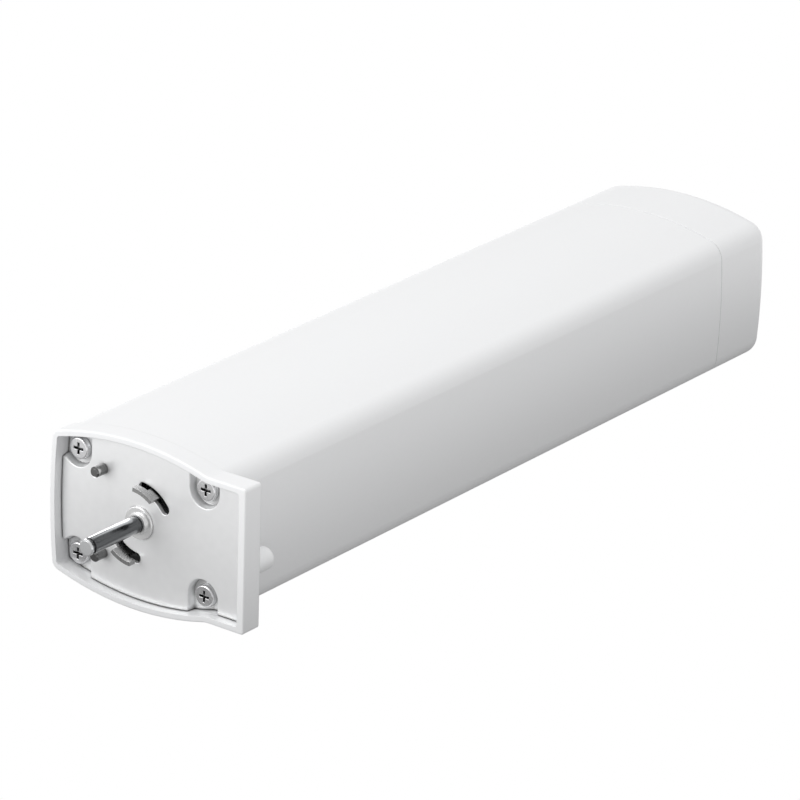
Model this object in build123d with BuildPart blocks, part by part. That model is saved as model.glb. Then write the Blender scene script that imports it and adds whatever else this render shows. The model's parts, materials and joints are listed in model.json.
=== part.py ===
from build123d import *

import os
from math import acos, cos, pi, radians, sin, sqrt, tan

# A curtain rail motor, lying on its back edge as it would on a bench, in millimetres.
# The origin is on the output shaft's axis, at the outer face of the steel mounting plate.
# X runs to the right as seen from the shaft end, Y runs back along the barrel, Z is up.

# Casing section: two shallow arches and two slightly bowed sides
half_width = 31.5
half_height = 26.25
arch_radius = 98.0
side_radius = 220.0
barrel_corner = 6.5
rim_corner = 3.0
casing_wall = 2.2
casing_length = 256.0
barrel_step = 0.1
edge_round = 0.5
seam_bevel = 0.25
half_turns = (0, 180)

# Flange round the front, with its reach to the right
flange_depth = 7.1
flange_overhang = 9.3
flange_shoulder = 4.65
flange_blend = 9.0
flange_corner = 1.0
rim_wall = 1.9
reach_wall = 2.4
ledge_width = 1.2

# Mounting plate and its pockets
plate_thickness = 1.2
plate_recess = 3.0
plate_gap = 0.3
pocket_radius = 5.5
pocket_depth = 2.5
pocket_sheet = 0.8
pocket_taper = 14.0
pocket_gap = 0.4
corner_pocket_drop = 3.6
screw_inset_x = 7.9
screw_inset_z = 9.75
slot_radius = 11.35
slot_width = 3.3
slot_first_angle = 36.0
slot_last_angle = 84.0

# Plate screws
screw_head_radius = 3.4
screw_head_height = 2.0
screw_radius = 1.6
screw_length = 7.2
screw_gap = 0.1
recess_length = 3.7
recess_width = 0.9
recess_depth = 1.1

# Locating pins
pin_radius = 1.65
pin_height = 4.4
pin_offset_x = 10.0
pin_offset_z = 3.3
pin_neck_radius = 1.15
pin_foot_radius = 2.0
pin_foot_thickness = 0.6
pin_bevel = 0.45

# Output shaft and its bush
shaft_radius = 2.5
shaft_reach = 24.0
tip_disc = 1.1
groove_width = 0.8
groove_depth = 0.4
tip_bevel = 0.3
drive_flat_depth = 0.4
drive_flat_start = 3.0
drive_flat_length = 8.0
relief_width = 0.5
relief_depth = 0.2
running_gap = 0.03
bush_flange_radius = 5.0
bush_flange_thickness = 0.8
bush_collar_radius = 3.2
bush_collar_height = 0.8
bush_radius = 4.2
seat_gap = 0.02

# Lock ring: hooks, lever arm, detent
ring_gap = 4.2
ring_thickness = 1.5
ring_radius = 14.2
ring_bore_gap = 0.05
ring_back_gap = 0.7
hook_inner_radius = 11.2
hook_outer_radius = 12.5
hook_first_angle = 53.0
hook_stem_angle = 71.0
hook_last_angle = 88.0
hook_height = 4.0
hook_nose_height = 2.4
lever_angle = -7.9
lever_travel_angle = 16.0
lever_width = 4.0
lever_slot_gap = 0.4
knob_radius = 3.5
knob_side_gap = 0.56
knob_length = 9.5
knob_gap = 0.4
knob_round = 1.6
arm_end_wall = 1.4
detent_gap = 0.3
detent_sheet = 0.5
detent_span = 18.0
detent_post = 3.0

# Bulkhead behind the lock
bulkhead_thickness = 3.0
boss_radius = 4.2

# Gearbox
case_gap = 2.25
gear_wall = 3.95
sun_teeth = 15
planet_teeth = 21
ring_teeth = 57
planet_count = 3
backlash = 0.12
addendum = 0.9
dedendum = 1.25
pressure_angle = 20.0
flank_points = 4
pad_thickness = 1.5
case_wall_front = 5.0
face_width = 7.0
first_face_width = 6.0
carrier_gap = 1.06
carrier_thickness = 3.0
stage_gap = 0.4
planet_pin_radius = 1.5
planet_gap = 0.05
bearing_radius = 6.5
bearing_width = 4.0
bearing_lip = 0.9
bearing_lip_radius = 4.5
adaptor_thickness = 3.0
pinion_gap = 0.56
gearbox_screw_circle_radius = 15.0
gearbox_screw_radius = 1.4
gearbox_screw_head_radius = 2.7
gearbox_screw_bite_depth = 4.0
case_screw_inset = 2.0
case_screw_radius = 0.9
case_screw_head_radius = 1.6
case_screw_bite_depth = 5.0
motor_screw_circle_radius = 11.0
motor_screw_radius = 1.2
motor_screw_head_radius = 2.3

# Motor
can_radius = 18.0
can_wall = 1.2
can_length = 57.0
can_hub_radius = 6.0
can_hub_length = 4.2
motor_bearing_radius = 4.4
motor_bearing_width = 3.5
rotor_radius = 1.5
shaft_window_gap = 0.5
rotor_tail = 0.5
air_gap = 0.6
magnet_angle = 140.0
magnet_overlap = 2.0
armature_radius = 11.5
armature_start = 11.0
armature_length = 28.0
armature_slots = 5
armature_slot_width = 1.8
armature_slot_floor = 5.0
winding_gap = 0.1
winding_radius = 10.4
winding_bore = 3.2
winding_overhang = 3.4
commutator_radius = 4.2
commutator_length = 6.0
commutator_step = 2.0
commutator_cut = 0.3
brush_gap = 0.05
brush_length = 5.0
brush_width = 3.0
brush_wall = 1.1
brush_holder_gap = 1.2
shield_thickness = 4.0
encoder_radius = 6.0
encoder_thickness = 3.0
encoder_gap = 1.6
sensor_board_radius = 13.0
sensor_gap = 2.0
sensor_post_x = 10.5
sensor_post_radius = 1.6
sensor_chip_width = 6.0
sensor_chip_height = 4.0
sensor_chip_depth = 1.2
sensor_plug_width = 10.0
sensor_plug_height = 3.5
sensor_plug_depth = 2.5
sensor_plug_level = -7.0
cradle_thickness = 4.0
cradle_gap = 0.4
pad_lip = 1.0
pad_lip_width = 1.6

# Main board and what stands on it
board_side_gap = 3.8
board_front_gap = 9.5
board_back_gap = 12.0
board_thickness = 1.6
board_level = -10.0
ledge_reach = 9.0
ledge_depth = 4.0
ledge_overrun = 1.0
board_screw_radius = 1.1
board_screw_head_radius = 2.1
board_screw_head_height = 1.4
board_screw_length = 5.0
board_screw_inset = 6.0
board_screw_edge = 2.2
board_screw_slot_length = 2.6
board_screw_slot_width = 0.6
lead_radius = 0.7
signal_lead_radius = 0.45
lead_pitch = 5.0
signal_lead_pitch = 1.3
motor_lead_inset = 3.5
motor_lead_low = -14.2
motor_lead_rise = 4.5
motor_lead_level = -9.5
signal_lead_level = -7.4
mains_lead_x = 4.0
mains_lead_level = -6.0
transformer_x = -8.0
transformer_back_gap = 29.0
core_width = 22.0
core_length = 16.0
core_height = 20.0
core_limb = 3.5
coil_bulge = 4.0
capacitor_side_gap = 14.5
capacitor_radius = 7.0
capacitor_height = 24.0
sink_x = 0.0
sink_front_gap = 47.0
sink_width = 28.0
sink_base = 2.0
sink_fin = 9.0
sink_height = 20.0
fin_count = 6
chip_width = 10.0
chip_depth = 4.5
chip_height = 16.0
radio_x = 0.0
radio_front_gap = 25.0
radio_width = 18.0
radio_length = 22.0
radio_aerial = 6.0
radio_can_height = 2.4
radio_can_inset = 1.0
sheet_board = 0.8
terminal_width = 11.0
terminal_length = 8.0
terminal_height = 10.0
terminal_hole_radius = 1.4
terminal_bevel = 1.0
plug_width = 14.0
plug_length = 6.0
plug_height = 7.0
header_x = 13.0
header_inset = 4.0
header_width = 6.0
header_length = 4.0
header_height = 5.0
header_lead_level = 2.5

# End cap and what it carries
cap_length = 27.0
cap_round = 5.0
cap_end_wall = 2.5
spigot_length = 5.0
spigot_wall = 1.5
spigot_gap = 0.15
spigot_root = 3.0
inlet_width = 20.0
inlet_height = 11.0
inlet_level = -8.0
inlet_depth = 15.0
inlet_recess = 0.6
inlet_ear = 3.0
inlet_ear_thickness = 2.0
inlet_tail = 4.0
socket_pitch = 8.6
socket_height = 7.6
socket_waist = 1.2
socket_depth = 9.5
inlet_pin_radius = 1.2
inlet_pin_inset = 1.5
fit_gap = 0.15
button_level = 6.0
button_radius = 4.0
button_gap = 0.3
button_stand = 0.5
button_travel = 0.5
button_collar_thickness = 1.4
button_stem_radius = 1.5
switch_gap = 0.1
switch_size = 6.0
switch_height = 3.4
plunger_radius = 1.2
plunger_height = 0.8
plunger_length = 1.6
plunger_gap = 0.05
spring_wire = 0.45
spring_gap = 0.36
spring_cover = 0.6
spring_turns = 4
button_board_offset = 8.0
button_board_width = 26.0
button_board_height = 16.0
button_board_level = 8.6
button_board_corner = 1.0
button_lead_drop = 5.0
button_post_x = 10.0
button_post_radius = 2.2
button_stake_radius = 1.2
button_stake_head_radius = 1.9
button_stake_height = 0.9
light_radius = 1.4
light_level = 14.0
light_stand = 0.2
light_collar = 1.0
light_collar_thickness = 1.5
light_lamp_height = 3.0
cap_screw_inset = 7.5
cap_screw_radius = 1.5
cap_screw_head_radius = 2.9
cap_screw_head_height = 2.2
cap_screw_bite_depth = 12.0
cap_screw_seat_depth = 5.0
cap_screw_slot_length = 3.6
cap_screw_slot_width = 0.8
cap_post_radius = 4.4
cap_post_gap = 0.2

# Sizes that follow from the casing's section
flange_reach = half_width + flange_overhang
flange_half_height = half_height - arch_radius + sqrt(arch_radius ** 2 - (half_width - flange_shoulder) ** 2)
screw_x = half_width - screw_inset_x
screw_z = half_height - screw_inset_z
pin_x = screw_x - pin_offset_x
pin_z = screw_z - pin_offset_z
knob_orbit_radius = (half_width + knob_side_gap + knob_radius) / cos(radians(lever_angle))
board_half_width = half_width - casing_wall - board_side_gap
cap_screw_x = half_width - cap_screw_inset
capacitor_x = board_half_width - capacitor_side_gap

# Gear sizes: the gearbox fills the casing, and the teeth fill the gearbox's case
case_radius = half_height - casing_wall - case_gap
module = (case_radius - gear_wall) / (ring_teeth / 2 + dedendum)
sun_pitch = module * sun_teeth / 2
planet_pitch = module * planet_teeth / 2
ring_pitch = module * ring_teeth / 2
orbit = sun_pitch + planet_pitch
carrier_radius = ring_pitch - addendum * module - carrier_gap
pinion_window_radius = sun_pitch + addendum * module + pinion_gap
case_screw_circle_radius = case_radius - case_screw_inset

# The return spring goes round the switch, and the button's collar covers the spring
spring_radius = switch_size / sqrt(2) + spring_gap
button_collar_radius = spring_radius + spring_cover

# Stations along the barrel, measured back from the plate's outer face
rim_y = -plate_recess
flange_back_y = rim_y + flange_depth
seam_y = rim_y + casing_length
end_y = seam_y + cap_length
plate_back_y = plate_thickness
pocket_floor_y = pocket_depth
pocket_back_y = pocket_depth + pocket_sheet
ring_y = plate_back_y + ring_gap
ring_back_y = ring_y + ring_thickness
bulkhead_y = ring_back_y + ring_back_gap
bulkhead_back_y = bulkhead_y + bulkhead_thickness
case_y = bulkhead_back_y + pad_thickness
chamber_y = case_y + case_wall_front
output_carrier_y = chamber_y + stage_gap
output_planet_y = output_carrier_y + carrier_thickness + stage_gap
first_carrier_y = output_planet_y + face_width + 2 * stage_gap
first_planet_y = first_carrier_y + carrier_thickness + stage_gap
case_back_y = first_planet_y + first_face_width + 3 * stage_gap
can_y = case_back_y + adaptor_thickness
can_back_y = can_y + can_length
shield_y = can_back_y - shield_thickness
armature_y = can_y + armature_start
armature_back_y = armature_y + armature_length
commutator_y = armature_back_y + winding_overhang + commutator_step
brush_y = commutator_y + commutator_length / 2
encoder_y = can_back_y + encoder_gap
sensor_y = encoder_y + encoder_thickness + sensor_gap
board_start = sensor_y + board_thickness + board_front_gap
board_end_y = seam_y - board_back_gap
transformer_y = board_end_y - transformer_back_gap
radio_y = board_start + radio_front_gap
sink_y = board_start + sink_front_gap
board_top = board_level + board_thickness
wall_y = end_y - cap_end_wall
button_board_y = wall_y - button_board_offset


def station(y):
    """The plane across the barrel at a distance y behind the plate, seen from the front."""
    return Plane.XZ.offset(-y)


def bar(radius, start, end, places=((0, 0),), mode=Mode.ADD):
    """Round bars or holes that run along the barrel between two stations."""
    with BuildSketch(station(start)) as outline:
        with Locations(*places):
            Circle(radius)
    extrude(outline.sketch, amount=start - end, mode=mode)


def block(width, height, start, end, place=(0, 0), mode=Mode.ADD):
    """A box that runs along the barrel between two stations."""
    with BuildSketch(station(start)) as outline:
        with Locations(place):
            Rectangle(width, height)
    extrude(outline.sketch, amount=start - end, mode=mode)


def polar(radius, angle):
    """A place at this radius and angle round the shaft, counterclockwise from the right."""
    return (radius * cos(radians(angle)), radius * sin(radians(angle)))


def curved_bar(inner, outer, first_angle, last_angle, start, end, mode=Mode.ADD):
    """A bar or hole between two radii and two angles, such as a magnet or an arc slot."""
    sweep_angle = last_angle - first_angle
    with BuildSketch(station(start)) as outline:
        with BuildLine():
            far = CenterArc((0, 0), outer, first_angle, sweep_angle)
            near = CenterArc((0, 0), inner, first_angle, sweep_angle)
            Line(far @ 0, near @ 0)
            Line(far @ 1, near @ 1)
        make_face()
    extrude(outline.sketch, amount=start - end, mode=mode)


def section(inset, corner):
    """The barrel's outline: the overlap of two arches and two bowed sides, corners rounded."""
    with BuildSketch(Plane.XY, mode=Mode.PRIVATE) as outline:
        with Locations((0, half_height - arch_radius)):
            Circle(arch_radius - inset)
        with Locations((0, arch_radius - half_height)):
            Circle(arch_radius - inset, mode=Mode.INTERSECT)
        with Locations((half_width - side_radius, 0)):
            Circle(side_radius - inset, mode=Mode.INTERSECT)
        with Locations((side_radius - half_width, 0)):
            Circle(side_radius - inset, mode=Mode.INTERSECT)
        fillet(outline.vertices(), radius=max(corner - inset, edge_round))
    return outline.sketch


def flange_outline(inset, reach_inset):
    """The flange's outline: the barrel's section with a straight-edged reach to the right."""
    reach = flange_reach - reach_inset
    half = flange_half_height - inset
    with BuildSketch(Plane.XY, mode=Mode.PRIVATE) as outline:
        add(section(inset, rim_corner))
        with Locations((reach / 2, 0)):
            Rectangle(reach, 2 * half)
        inside = outline.vertices().filter_by(lambda v: 0.5 * half_width < v.X < half_width)
        fillet(inside, radius=flange_blend)
        fillet(outline.vertices().group_by(Axis.X)[-1], radius=flange_corner)
    return outline.sketch


screw_places = [(x, z) for x in (-screw_x, screw_x) for z in (-screw_z, screw_z)]
pin_places = [(-pin_x, -pin_z), (-pin_x, pin_z)]


def pockets(grow):
    """The four pocket outlines: two open to the near edge, two open to the left corners."""
    radius = pocket_radius + grow
    drop = corner_pocket_drop + grow
    with BuildSketch(Plane.XY, mode=Mode.PRIVATE) as outline:
        for x, z in screw_places:
            up = 1 if z > 0 else -1
            with Locations((x, z)):
                Circle(radius)
            with Locations((x, z + up * half_height / 2)):
                Rectangle(2 * radius, half_height)
            if x < 0:
                with Locations((x - half_width / 2, z + up * (half_height - drop) / 2)):
                    Rectangle(half_width, half_height + drop)
    return outline.sketch


def cross(length, width):
    """The crossed slots of a cross-head screw."""
    Rectangle(length, width)
    Rectangle(width, length)


def flat_head_screw(radius, head_radius, head_y, end_y, places):
    """Countersunk screws whose flat heads lie at head_y and whose shanks end at end_y."""
    step = 1 if end_y > head_y else -1
    sink = head_radius - radius
    for x, z in places:
        with BuildSketch(Plane(origin=(x, 0, z), x_dir=(1, 0, 0), z_dir=(0, 0, 1))) as profile:
            with BuildLine():
                Polyline((0, head_y), (head_radius, head_y), (radius, head_y + step * sink),
                         (radius, end_y), (0, end_y), close=True)
            make_face()
        revolve(profile.sketch, axis=Axis((x, 0, z), (0, 1, 0)))


def countersink(radius, head_radius, head_y, end_y, places):
    """The matching holes: straight at the shank, opened to the head at head_y."""
    step = 1 if end_y > head_y else -1
    sink = head_radius - radius
    for x, z in places:
        with BuildSketch(Plane(origin=(x, 0, z), x_dir=(1, 0, 0), z_dir=(0, 0, 1))) as profile:
            with BuildLine():
                Polyline((0, head_y - step), (head_radius + fit_gap, head_y - step),
                         (head_radius + fit_gap, head_y), (radius + screw_gap, head_y + step * sink),
                         (radius + screw_gap, end_y + step * screw_gap),
                         (0, end_y + step * screw_gap), close=True)
            make_face()
        revolve(profile.sketch, axis=Axis((x, 0, z), (0, 1, 0)), mode=Mode.SUBTRACT)


def save(piece, name):
    """Labels a finished piece and writes it under its own name."""
    piece.part.label = name
    export_step(piece.part, f"parts/{name}.step")


os.makedirs("parts", exist_ok=True)

# Cap screw places and the ledges' inner edge are shared by the housing and the end cap
cap_screw_places = [(-cap_screw_x, 0), (cap_screw_x, 0)]
ledge_inner_x = half_width - casing_wall - ledge_reach
board_screw_x = board_half_width - board_screw_edge
board_screw_places = [(x, y) for x in (-board_screw_x, board_screw_x)
                      for y in (board_start + board_screw_inset, board_end_y - board_screw_inset)]
diagonals = (45, 135, 225, 315)
gearbox_screw_places = [polar(gearbox_screw_circle_radius, angle) for angle in diagonals]
case_screw_places = [polar(case_screw_circle_radius, angle) for angle in diagonals]
motor_screw_places = [(-motor_screw_circle_radius, 0), (motor_screw_circle_radius, 0)]
inlet_pin_places = [(-socket_pitch / 2, inlet_level), (socket_pitch / 2, inlet_level)]
button_post_places = [(-button_post_x, button_board_level), (button_post_x, button_board_level)]

# Housing: barrel, flange, ledge for the plate, bulkhead, screw bosses, motor cradle, board ledges
cradle_y = can_back_y - 2 * cradle_thickness
cradle_bore = case_radius + cradle_gap
cap_post_y = seam_y - spigot_length
screw_tip_y = cap_post_y - cap_screw_bite_depth
lever_half_sweep = (half_width + casing_wall) * tan(radians(lever_travel_angle / 2))
lever_half_slot = lever_half_sweep + lever_width / 2 + lever_slot_gap
with BuildPart() as housing:
    with BuildSketch(station(flange_back_y)):
        add(section(barrel_step, barrel_corner))
    extrude(amount=flange_back_y - seam_y)
    with BuildSketch(station(rim_y)):
        add(flange_outline(0, 0))
    extrude(amount=-flange_depth)
    fillet(housing.faces().sort_by(Axis.Y)[0].edges(), radius=edge_round)
    chamfer(housing.faces().sort_by(Axis.Y)[-1].outer_wire().edges(), length=seam_bevel)
    with BuildSketch(station(rim_y)):
        add(flange_outline(rim_wall, reach_wall))
    extrude(amount=rim_y - plate_back_y, mode=Mode.SUBTRACT)
    with BuildSketch(station(plate_back_y)):
        add(section(casing_wall + ledge_width, barrel_corner))
    extrude(amount=plate_back_y - bulkhead_y, mode=Mode.SUBTRACT)
    with BuildSketch(station(bulkhead_back_y)):
        add(section(casing_wall, barrel_corner))
    extrude(amount=bulkhead_back_y - seam_y, mode=Mode.SUBTRACT)
    with BuildSketch(station(plate_back_y)):
        add(pockets(pocket_sheet + pocket_gap))
        add(flange_outline(rim_wall, reach_wall), mode=Mode.INTERSECT)
    extrude(amount=plate_back_y - pocket_back_y, mode=Mode.SUBTRACT)
    bar(boss_radius, pocket_back_y, bulkhead_y, screw_places)
    bar(screw_radius + screw_gap, pocket_back_y, bulkhead_back_y, screw_places, Mode.SUBTRACT)
    bar(bush_radius + seat_gap, bulkhead_y, bulkhead_back_y, mode=Mode.SUBTRACT)
    countersink(gearbox_screw_radius, gearbox_screw_head_radius, bulkhead_y, bulkhead_back_y,
                gearbox_screw_places)
    block(4 * casing_wall, 2 * lever_half_slot, ring_y - lever_slot_gap, ring_back_y + lever_slot_gap,
          (half_width - casing_wall, 0), Mode.SUBTRACT)
    with BuildSketch(station(cradle_y)):
        add(section(casing_wall / 2, barrel_corner))
        Circle(cradle_bore, mode=Mode.SUBTRACT)
    extrude(amount=-cradle_thickness)
    for side in (-1, 1):
        ledge_width_total = ledge_reach + casing_wall / 2
        block(ledge_width_total, ledge_depth, board_start - ledge_overrun, board_end_y + ledge_overrun,
              (side * (ledge_inner_x + ledge_width_total / 2), board_level - ledge_depth / 2))
        bar(cap_post_radius, screw_tip_y - casing_wall, cap_post_y - cap_post_gap, [(side * cap_screw_x, 0)])
        web = half_width - casing_wall / 2 - cap_screw_x
        block(web, 2 * casing_wall, screw_tip_y - casing_wall, cap_post_y - cap_post_gap,
              (side * (cap_screw_x + web / 2), 0))
    bar(cap_screw_radius + screw_gap, screw_tip_y - screw_gap, cap_post_y, cap_screw_places, Mode.SUBTRACT)
    for x, y in board_screw_places:
        with BuildSketch(Plane.XY.offset(board_level)):
            with Locations((x, y)):
                Circle(board_screw_radius + screw_gap)
        extrude(amount=-ledge_depth, mode=Mode.SUBTRACT)
    for side in (-1, 1):
        block(detent_post, detent_post, ring_y, bulkhead_y,
              (-ring_radius - detent_gap - detent_sheet / 2, side * (detent_span + detent_post) / 2))
save(housing, "housing")

# Mounting plate: pressed steel with drawn pockets, arc slots, and holes for bush, pins and screws
with BuildPart() as mounting_plate:
    with BuildSketch(station(0)):
        add(flange_outline(rim_wall + plate_gap, reach_wall + plate_gap))
    extrude(amount=-plate_thickness)
    with BuildSketch(station(0)):
        add(pockets(pocket_sheet))
        add(flange_outline(rim_wall + plate_gap, reach_wall + plate_gap), mode=Mode.INTERSECT)
    extrude(amount=-pocket_back_y)
    with BuildSketch(station(0)):
        add(pockets(0))
    extrude(amount=-pocket_depth, taper=pocket_taper, mode=Mode.SUBTRACT)
    bar(screw_radius + screw_gap, 0, pocket_back_y, screw_places, Mode.SUBTRACT)
    bar(bush_radius, 0, plate_back_y, mode=Mode.SUBTRACT)
    bar(pin_neck_radius, 0, plate_back_y, pin_places, Mode.SUBTRACT)
    for turn in half_turns:
        first, last = slot_first_angle + turn, slot_last_angle + turn
        curved_bar(slot_radius - slot_width / 2, slot_radius + slot_width / 2, first, last,
                   0, plate_back_y, Mode.SUBTRACT)
        ends = [polar(slot_radius, first), polar(slot_radius, last)]
        bar(slot_width / 2, 0, plate_back_y, ends, Mode.SUBTRACT)
save(mounting_plate, "mounting_plate")

# Four pan-head screws that hold the plate to the housing's bosses
head_top_y = pocket_floor_y - screw_head_height
with BuildPart() as plate_screws:
    bar(screw_head_radius, head_top_y, pocket_floor_y, screw_places)
    fillet(plate_screws.faces().group_by(Axis.Y)[0].edges(), radius=edge_round)
    bar(screw_radius, pocket_floor_y, pocket_floor_y + screw_length, screw_places)
    for place in screw_places:
        with BuildSketch(station(head_top_y)) as recess:
            with Locations(place):
                cross(recess_length, recess_width)
        extrude(recess.sketch, amount=-recess_depth, taper=pocket_taper, mode=Mode.SUBTRACT)
save(plate_screws, "plate_screws")

# Two locating pins that stand on the plate, each with a narrower neck riveted over behind it
with BuildPart() as locating_pins:
    bar(pin_radius, -pin_height, 0, pin_places)
    chamfer(locating_pins.faces().group_by(Axis.Y)[0].edges(), length=pin_bevel)
    bar(pin_neck_radius, 0, plate_back_y, pin_places)
    bar(pin_foot_radius, plate_back_y, plate_back_y + pin_foot_thickness, pin_places)
save(locating_pins, "locating_pins")

# Flanged bush: seated in the plate and the bulkhead, it guides the shaft and carries the lock ring
bush_front_y = -bush_flange_thickness - bush_collar_height
with BuildPart() as shaft_bush:
    bar(bush_collar_radius, bush_front_y, 0)
    bar(bush_flange_radius, -bush_flange_thickness, 0)
    bar(bush_radius, 0, bulkhead_back_y)
    fillet(shaft_bush.edges().filter_by(GeomType.CIRCLE).group_by(Axis.Y)[1], radius=bush_collar_height / 4)
    bar(shaft_radius + running_gap, bush_front_y, bulkhead_back_y, mode=Mode.SUBTRACT)
save(shaft_bush, "shaft_bush")

# Lock ring: it turns on the bush, its two L hooks come up through the slots, its arm ends in the knob
arm_end = knob_orbit_radius + knob_radius - arm_end_wall
with BuildPart() as lock_ring:
    bar(ring_radius, ring_y, ring_back_y)
    with BuildSketch(station(ring_y)):
        with PolarLocations(arm_end / 2, 1, start_angle=lever_angle):
            Rectangle(arm_end, lever_width)
    extrude(amount=-ring_thickness)
    for turn in half_turns:
        first = hook_first_angle + turn
        curved_bar(hook_inner_radius, hook_outer_radius, first, hook_stem_angle + turn, -hook_height, ring_y)
        curved_bar(hook_inner_radius, hook_outer_radius, first, hook_last_angle + turn,
                   -hook_height, hook_nose_height - hook_height)
    bar(bush_radius + ring_bore_gap, ring_y, ring_back_y, mode=Mode.SUBTRACT)
save(lock_ring, "lock_ring")

# Thumb knob: a small round bar pushed over the end of the lock ring's arm
knob_y = flange_back_y + knob_gap
knob_place = polar(knob_orbit_radius, lever_angle)
with BuildPart() as thumb_knob:
    bar(knob_radius, knob_y, knob_y + knob_length, [knob_place])
    fillet(thumb_knob.faces().sort_by(Axis.Y)[-1].edges(), radius=knob_round)
    fillet(thumb_knob.faces().sort_by(Axis.Y)[0].edges(), radius=edge_round)
    with BuildSketch(station(ring_y - seat_gap)):
        with PolarLocations((arm_end + seat_gap) / 2, 1, start_angle=lever_angle):
            Rectangle(arm_end + seat_gap, lever_width + 2 * seat_gap)
    extrude(amount=-ring_thickness - 2 * seat_gap, mode=Mode.SUBTRACT)
save(thumb_knob, "thumb_knob")

# Detent: a spring strip between two posts, with a bump that steadies the ring's edge
detent_x = -ring_radius - detent_gap
with BuildPart() as detent_spring:
    block(detent_sheet, detent_span - 2 * seat_gap, ring_y, ring_back_y, (detent_x - 3 * detent_sheet, 0))
    with BuildSketch(station(ring_y)):
        with Locations((detent_x - detent_sheet, 0)):
            Circle(detent_sheet)
        with Locations((detent_x - 2 * detent_sheet, 0)):
            Rectangle(2 * detent_sheet, 2 * detent_sheet)
    extrude(amount=-ring_thickness)
save(detent_spring, "detent_spring")

# Output shaft: round steel with a ring groove behind the tip, a flat for the drive pulley and a
# narrow relief in front of the bush
tip_y = -shaft_reach
shaft_back_y = output_carrier_y + carrier_thickness
with BuildPart() as output_shaft:
    bar(shaft_radius, tip_y, shaft_back_y)
    chamfer(output_shaft.edges().filter_by(GeomType.CIRCLE).sort_by(Axis.Y)[0], length=tip_bevel)
    for start, width, depth in ((tip_y + tip_disc, groove_width, groove_depth),
                                (bush_front_y - relief_width, relief_width, relief_depth)):
        with BuildSketch(station(start)):
            Circle(shaft_radius)
            Circle(shaft_radius - depth, mode=Mode.SUBTRACT)
        extrude(amount=-width, mode=Mode.SUBTRACT)
    flat_y = tip_y + drive_flat_start
    block(2 * shaft_radius, drive_flat_depth, flat_y, flat_y + drive_flat_length,
          (0, drive_flat_depth / 2 - shaft_radius), Mode.SUBTRACT)
save(output_shaft, "output_shaft")


def unwound(ratio):
    """How far, in radians, an involute has unwound where its base circle is this share of the radius."""
    return tan(acos(ratio)) - acos(ratio)


def gear_outline(teeth, low, high, spread):
    """The corners of a toothed outline with one tooth at the top; spread widens or thins its teeth."""
    pitch = module * teeth / 2
    base = pitch * cos(radians(pressure_angle))
    middle = pi / (2 * teeth) + spread / (2 * pitch) + unwound(base / pitch)
    flank = []
    for step in range(flank_points):
        r = low + (high - low) * step / (flank_points - 1)
        flank.append((r, middle - unwound(base / max(r, base))))
    corners = []
    for tooth in range(teeth):
        top = pi / 2 + 2 * pi * tooth / teeth
        corners += [(r * cos(top - half), r * sin(top - half)) for r, half in flank]
        corners += [(r * cos(top + half), r * sin(top + half)) for r, half in reversed(flank)]
    return corners


def toothed_bar(corners, start, end, place=(0, 0), mode=Mode.ADD):
    """A bar or hole with this toothed outline between two stations."""
    with BuildSketch(station(start)) as outline:
        with BuildLine():
            Polyline(*[(x + place[0], z + place[1]) for x, z in corners], close=True)
        make_face()
    extrude(outline.sketch, amount=start - end, mode=mode)


def save_planets(planet, name):
    """Writes one planet gear at each pin, a third of a turn apart."""
    for number in range(planet_count):
        turned = Rot(0, -360 / planet_count * number, 0) * planet.part
        turned.label = f"{name}_{number + 1}"
        export_step(turned, f"parts/{name}_{number + 1}.step")


tooth_tip = addendum * module
tooth_foot = dedendum * module
sun_outline = gear_outline(sun_teeth, sun_pitch - tooth_foot, sun_pitch + tooth_tip, -backlash)
planet_outline = gear_outline(planet_teeth, planet_pitch - tooth_foot, planet_pitch + tooth_tip, -backlash)
ring_outline = gear_outline(ring_teeth, ring_pitch - tooth_tip, ring_pitch + tooth_foot, backlash)
planet_places = [polar(orbit, 90 + 360 / planet_count * number) for number in range(planet_count)]

# Rubber pad between the bulkhead and the gearbox
with BuildPart() as front_pad:
    bar(case_radius, bulkhead_back_y, case_y)
    bar(bush_radius, bulkhead_back_y, case_y, mode=Mode.SUBTRACT)
    bar(gearbox_screw_radius + screw_gap, bulkhead_back_y, case_y, gearbox_screw_places, Mode.SUBTRACT)
save(front_pad, "front_pad")

# Four flat-head screws from the bulkhead into the gearbox
with BuildPart() as gearbox_screws:
    flat_head_screw(gearbox_screw_radius, gearbox_screw_head_radius, bulkhead_y,
                    case_y + gearbox_screw_bite_depth, gearbox_screw_places)
save(gearbox_screws, "gearbox_screws")

# Gearbox case, with the ring gear's teeth all along its bore
with BuildPart() as gearbox_case:
    bar(case_radius, case_y, case_back_y)
    toothed_bar(ring_outline, chamber_y, case_back_y, mode=Mode.SUBTRACT)
    bar(bearing_lip_radius, case_y, chamber_y, mode=Mode.SUBTRACT)
    bar(bearing_radius, case_y + bearing_lip, chamber_y, mode=Mode.SUBTRACT)
    bar(gearbox_screw_radius + screw_gap, case_y, case_y + gearbox_screw_bite_depth + screw_gap,
        gearbox_screw_places, Mode.SUBTRACT)
    bar(case_screw_radius + screw_gap, case_back_y - case_screw_bite_depth - screw_gap, case_back_y,
        case_screw_places, Mode.SUBTRACT)
save(gearbox_case, "gearbox_case")

# Sintered bearing for the output shaft
with BuildPart() as output_bearing:
    bar(bearing_radius, case_y + bearing_lip, case_y + bearing_lip + bearing_width)
    bar(shaft_radius + running_gap, case_y + bearing_lip, case_y + bearing_lip + bearing_width,
        mode=Mode.SUBTRACT)
save(output_bearing, "output_bearing")

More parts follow.
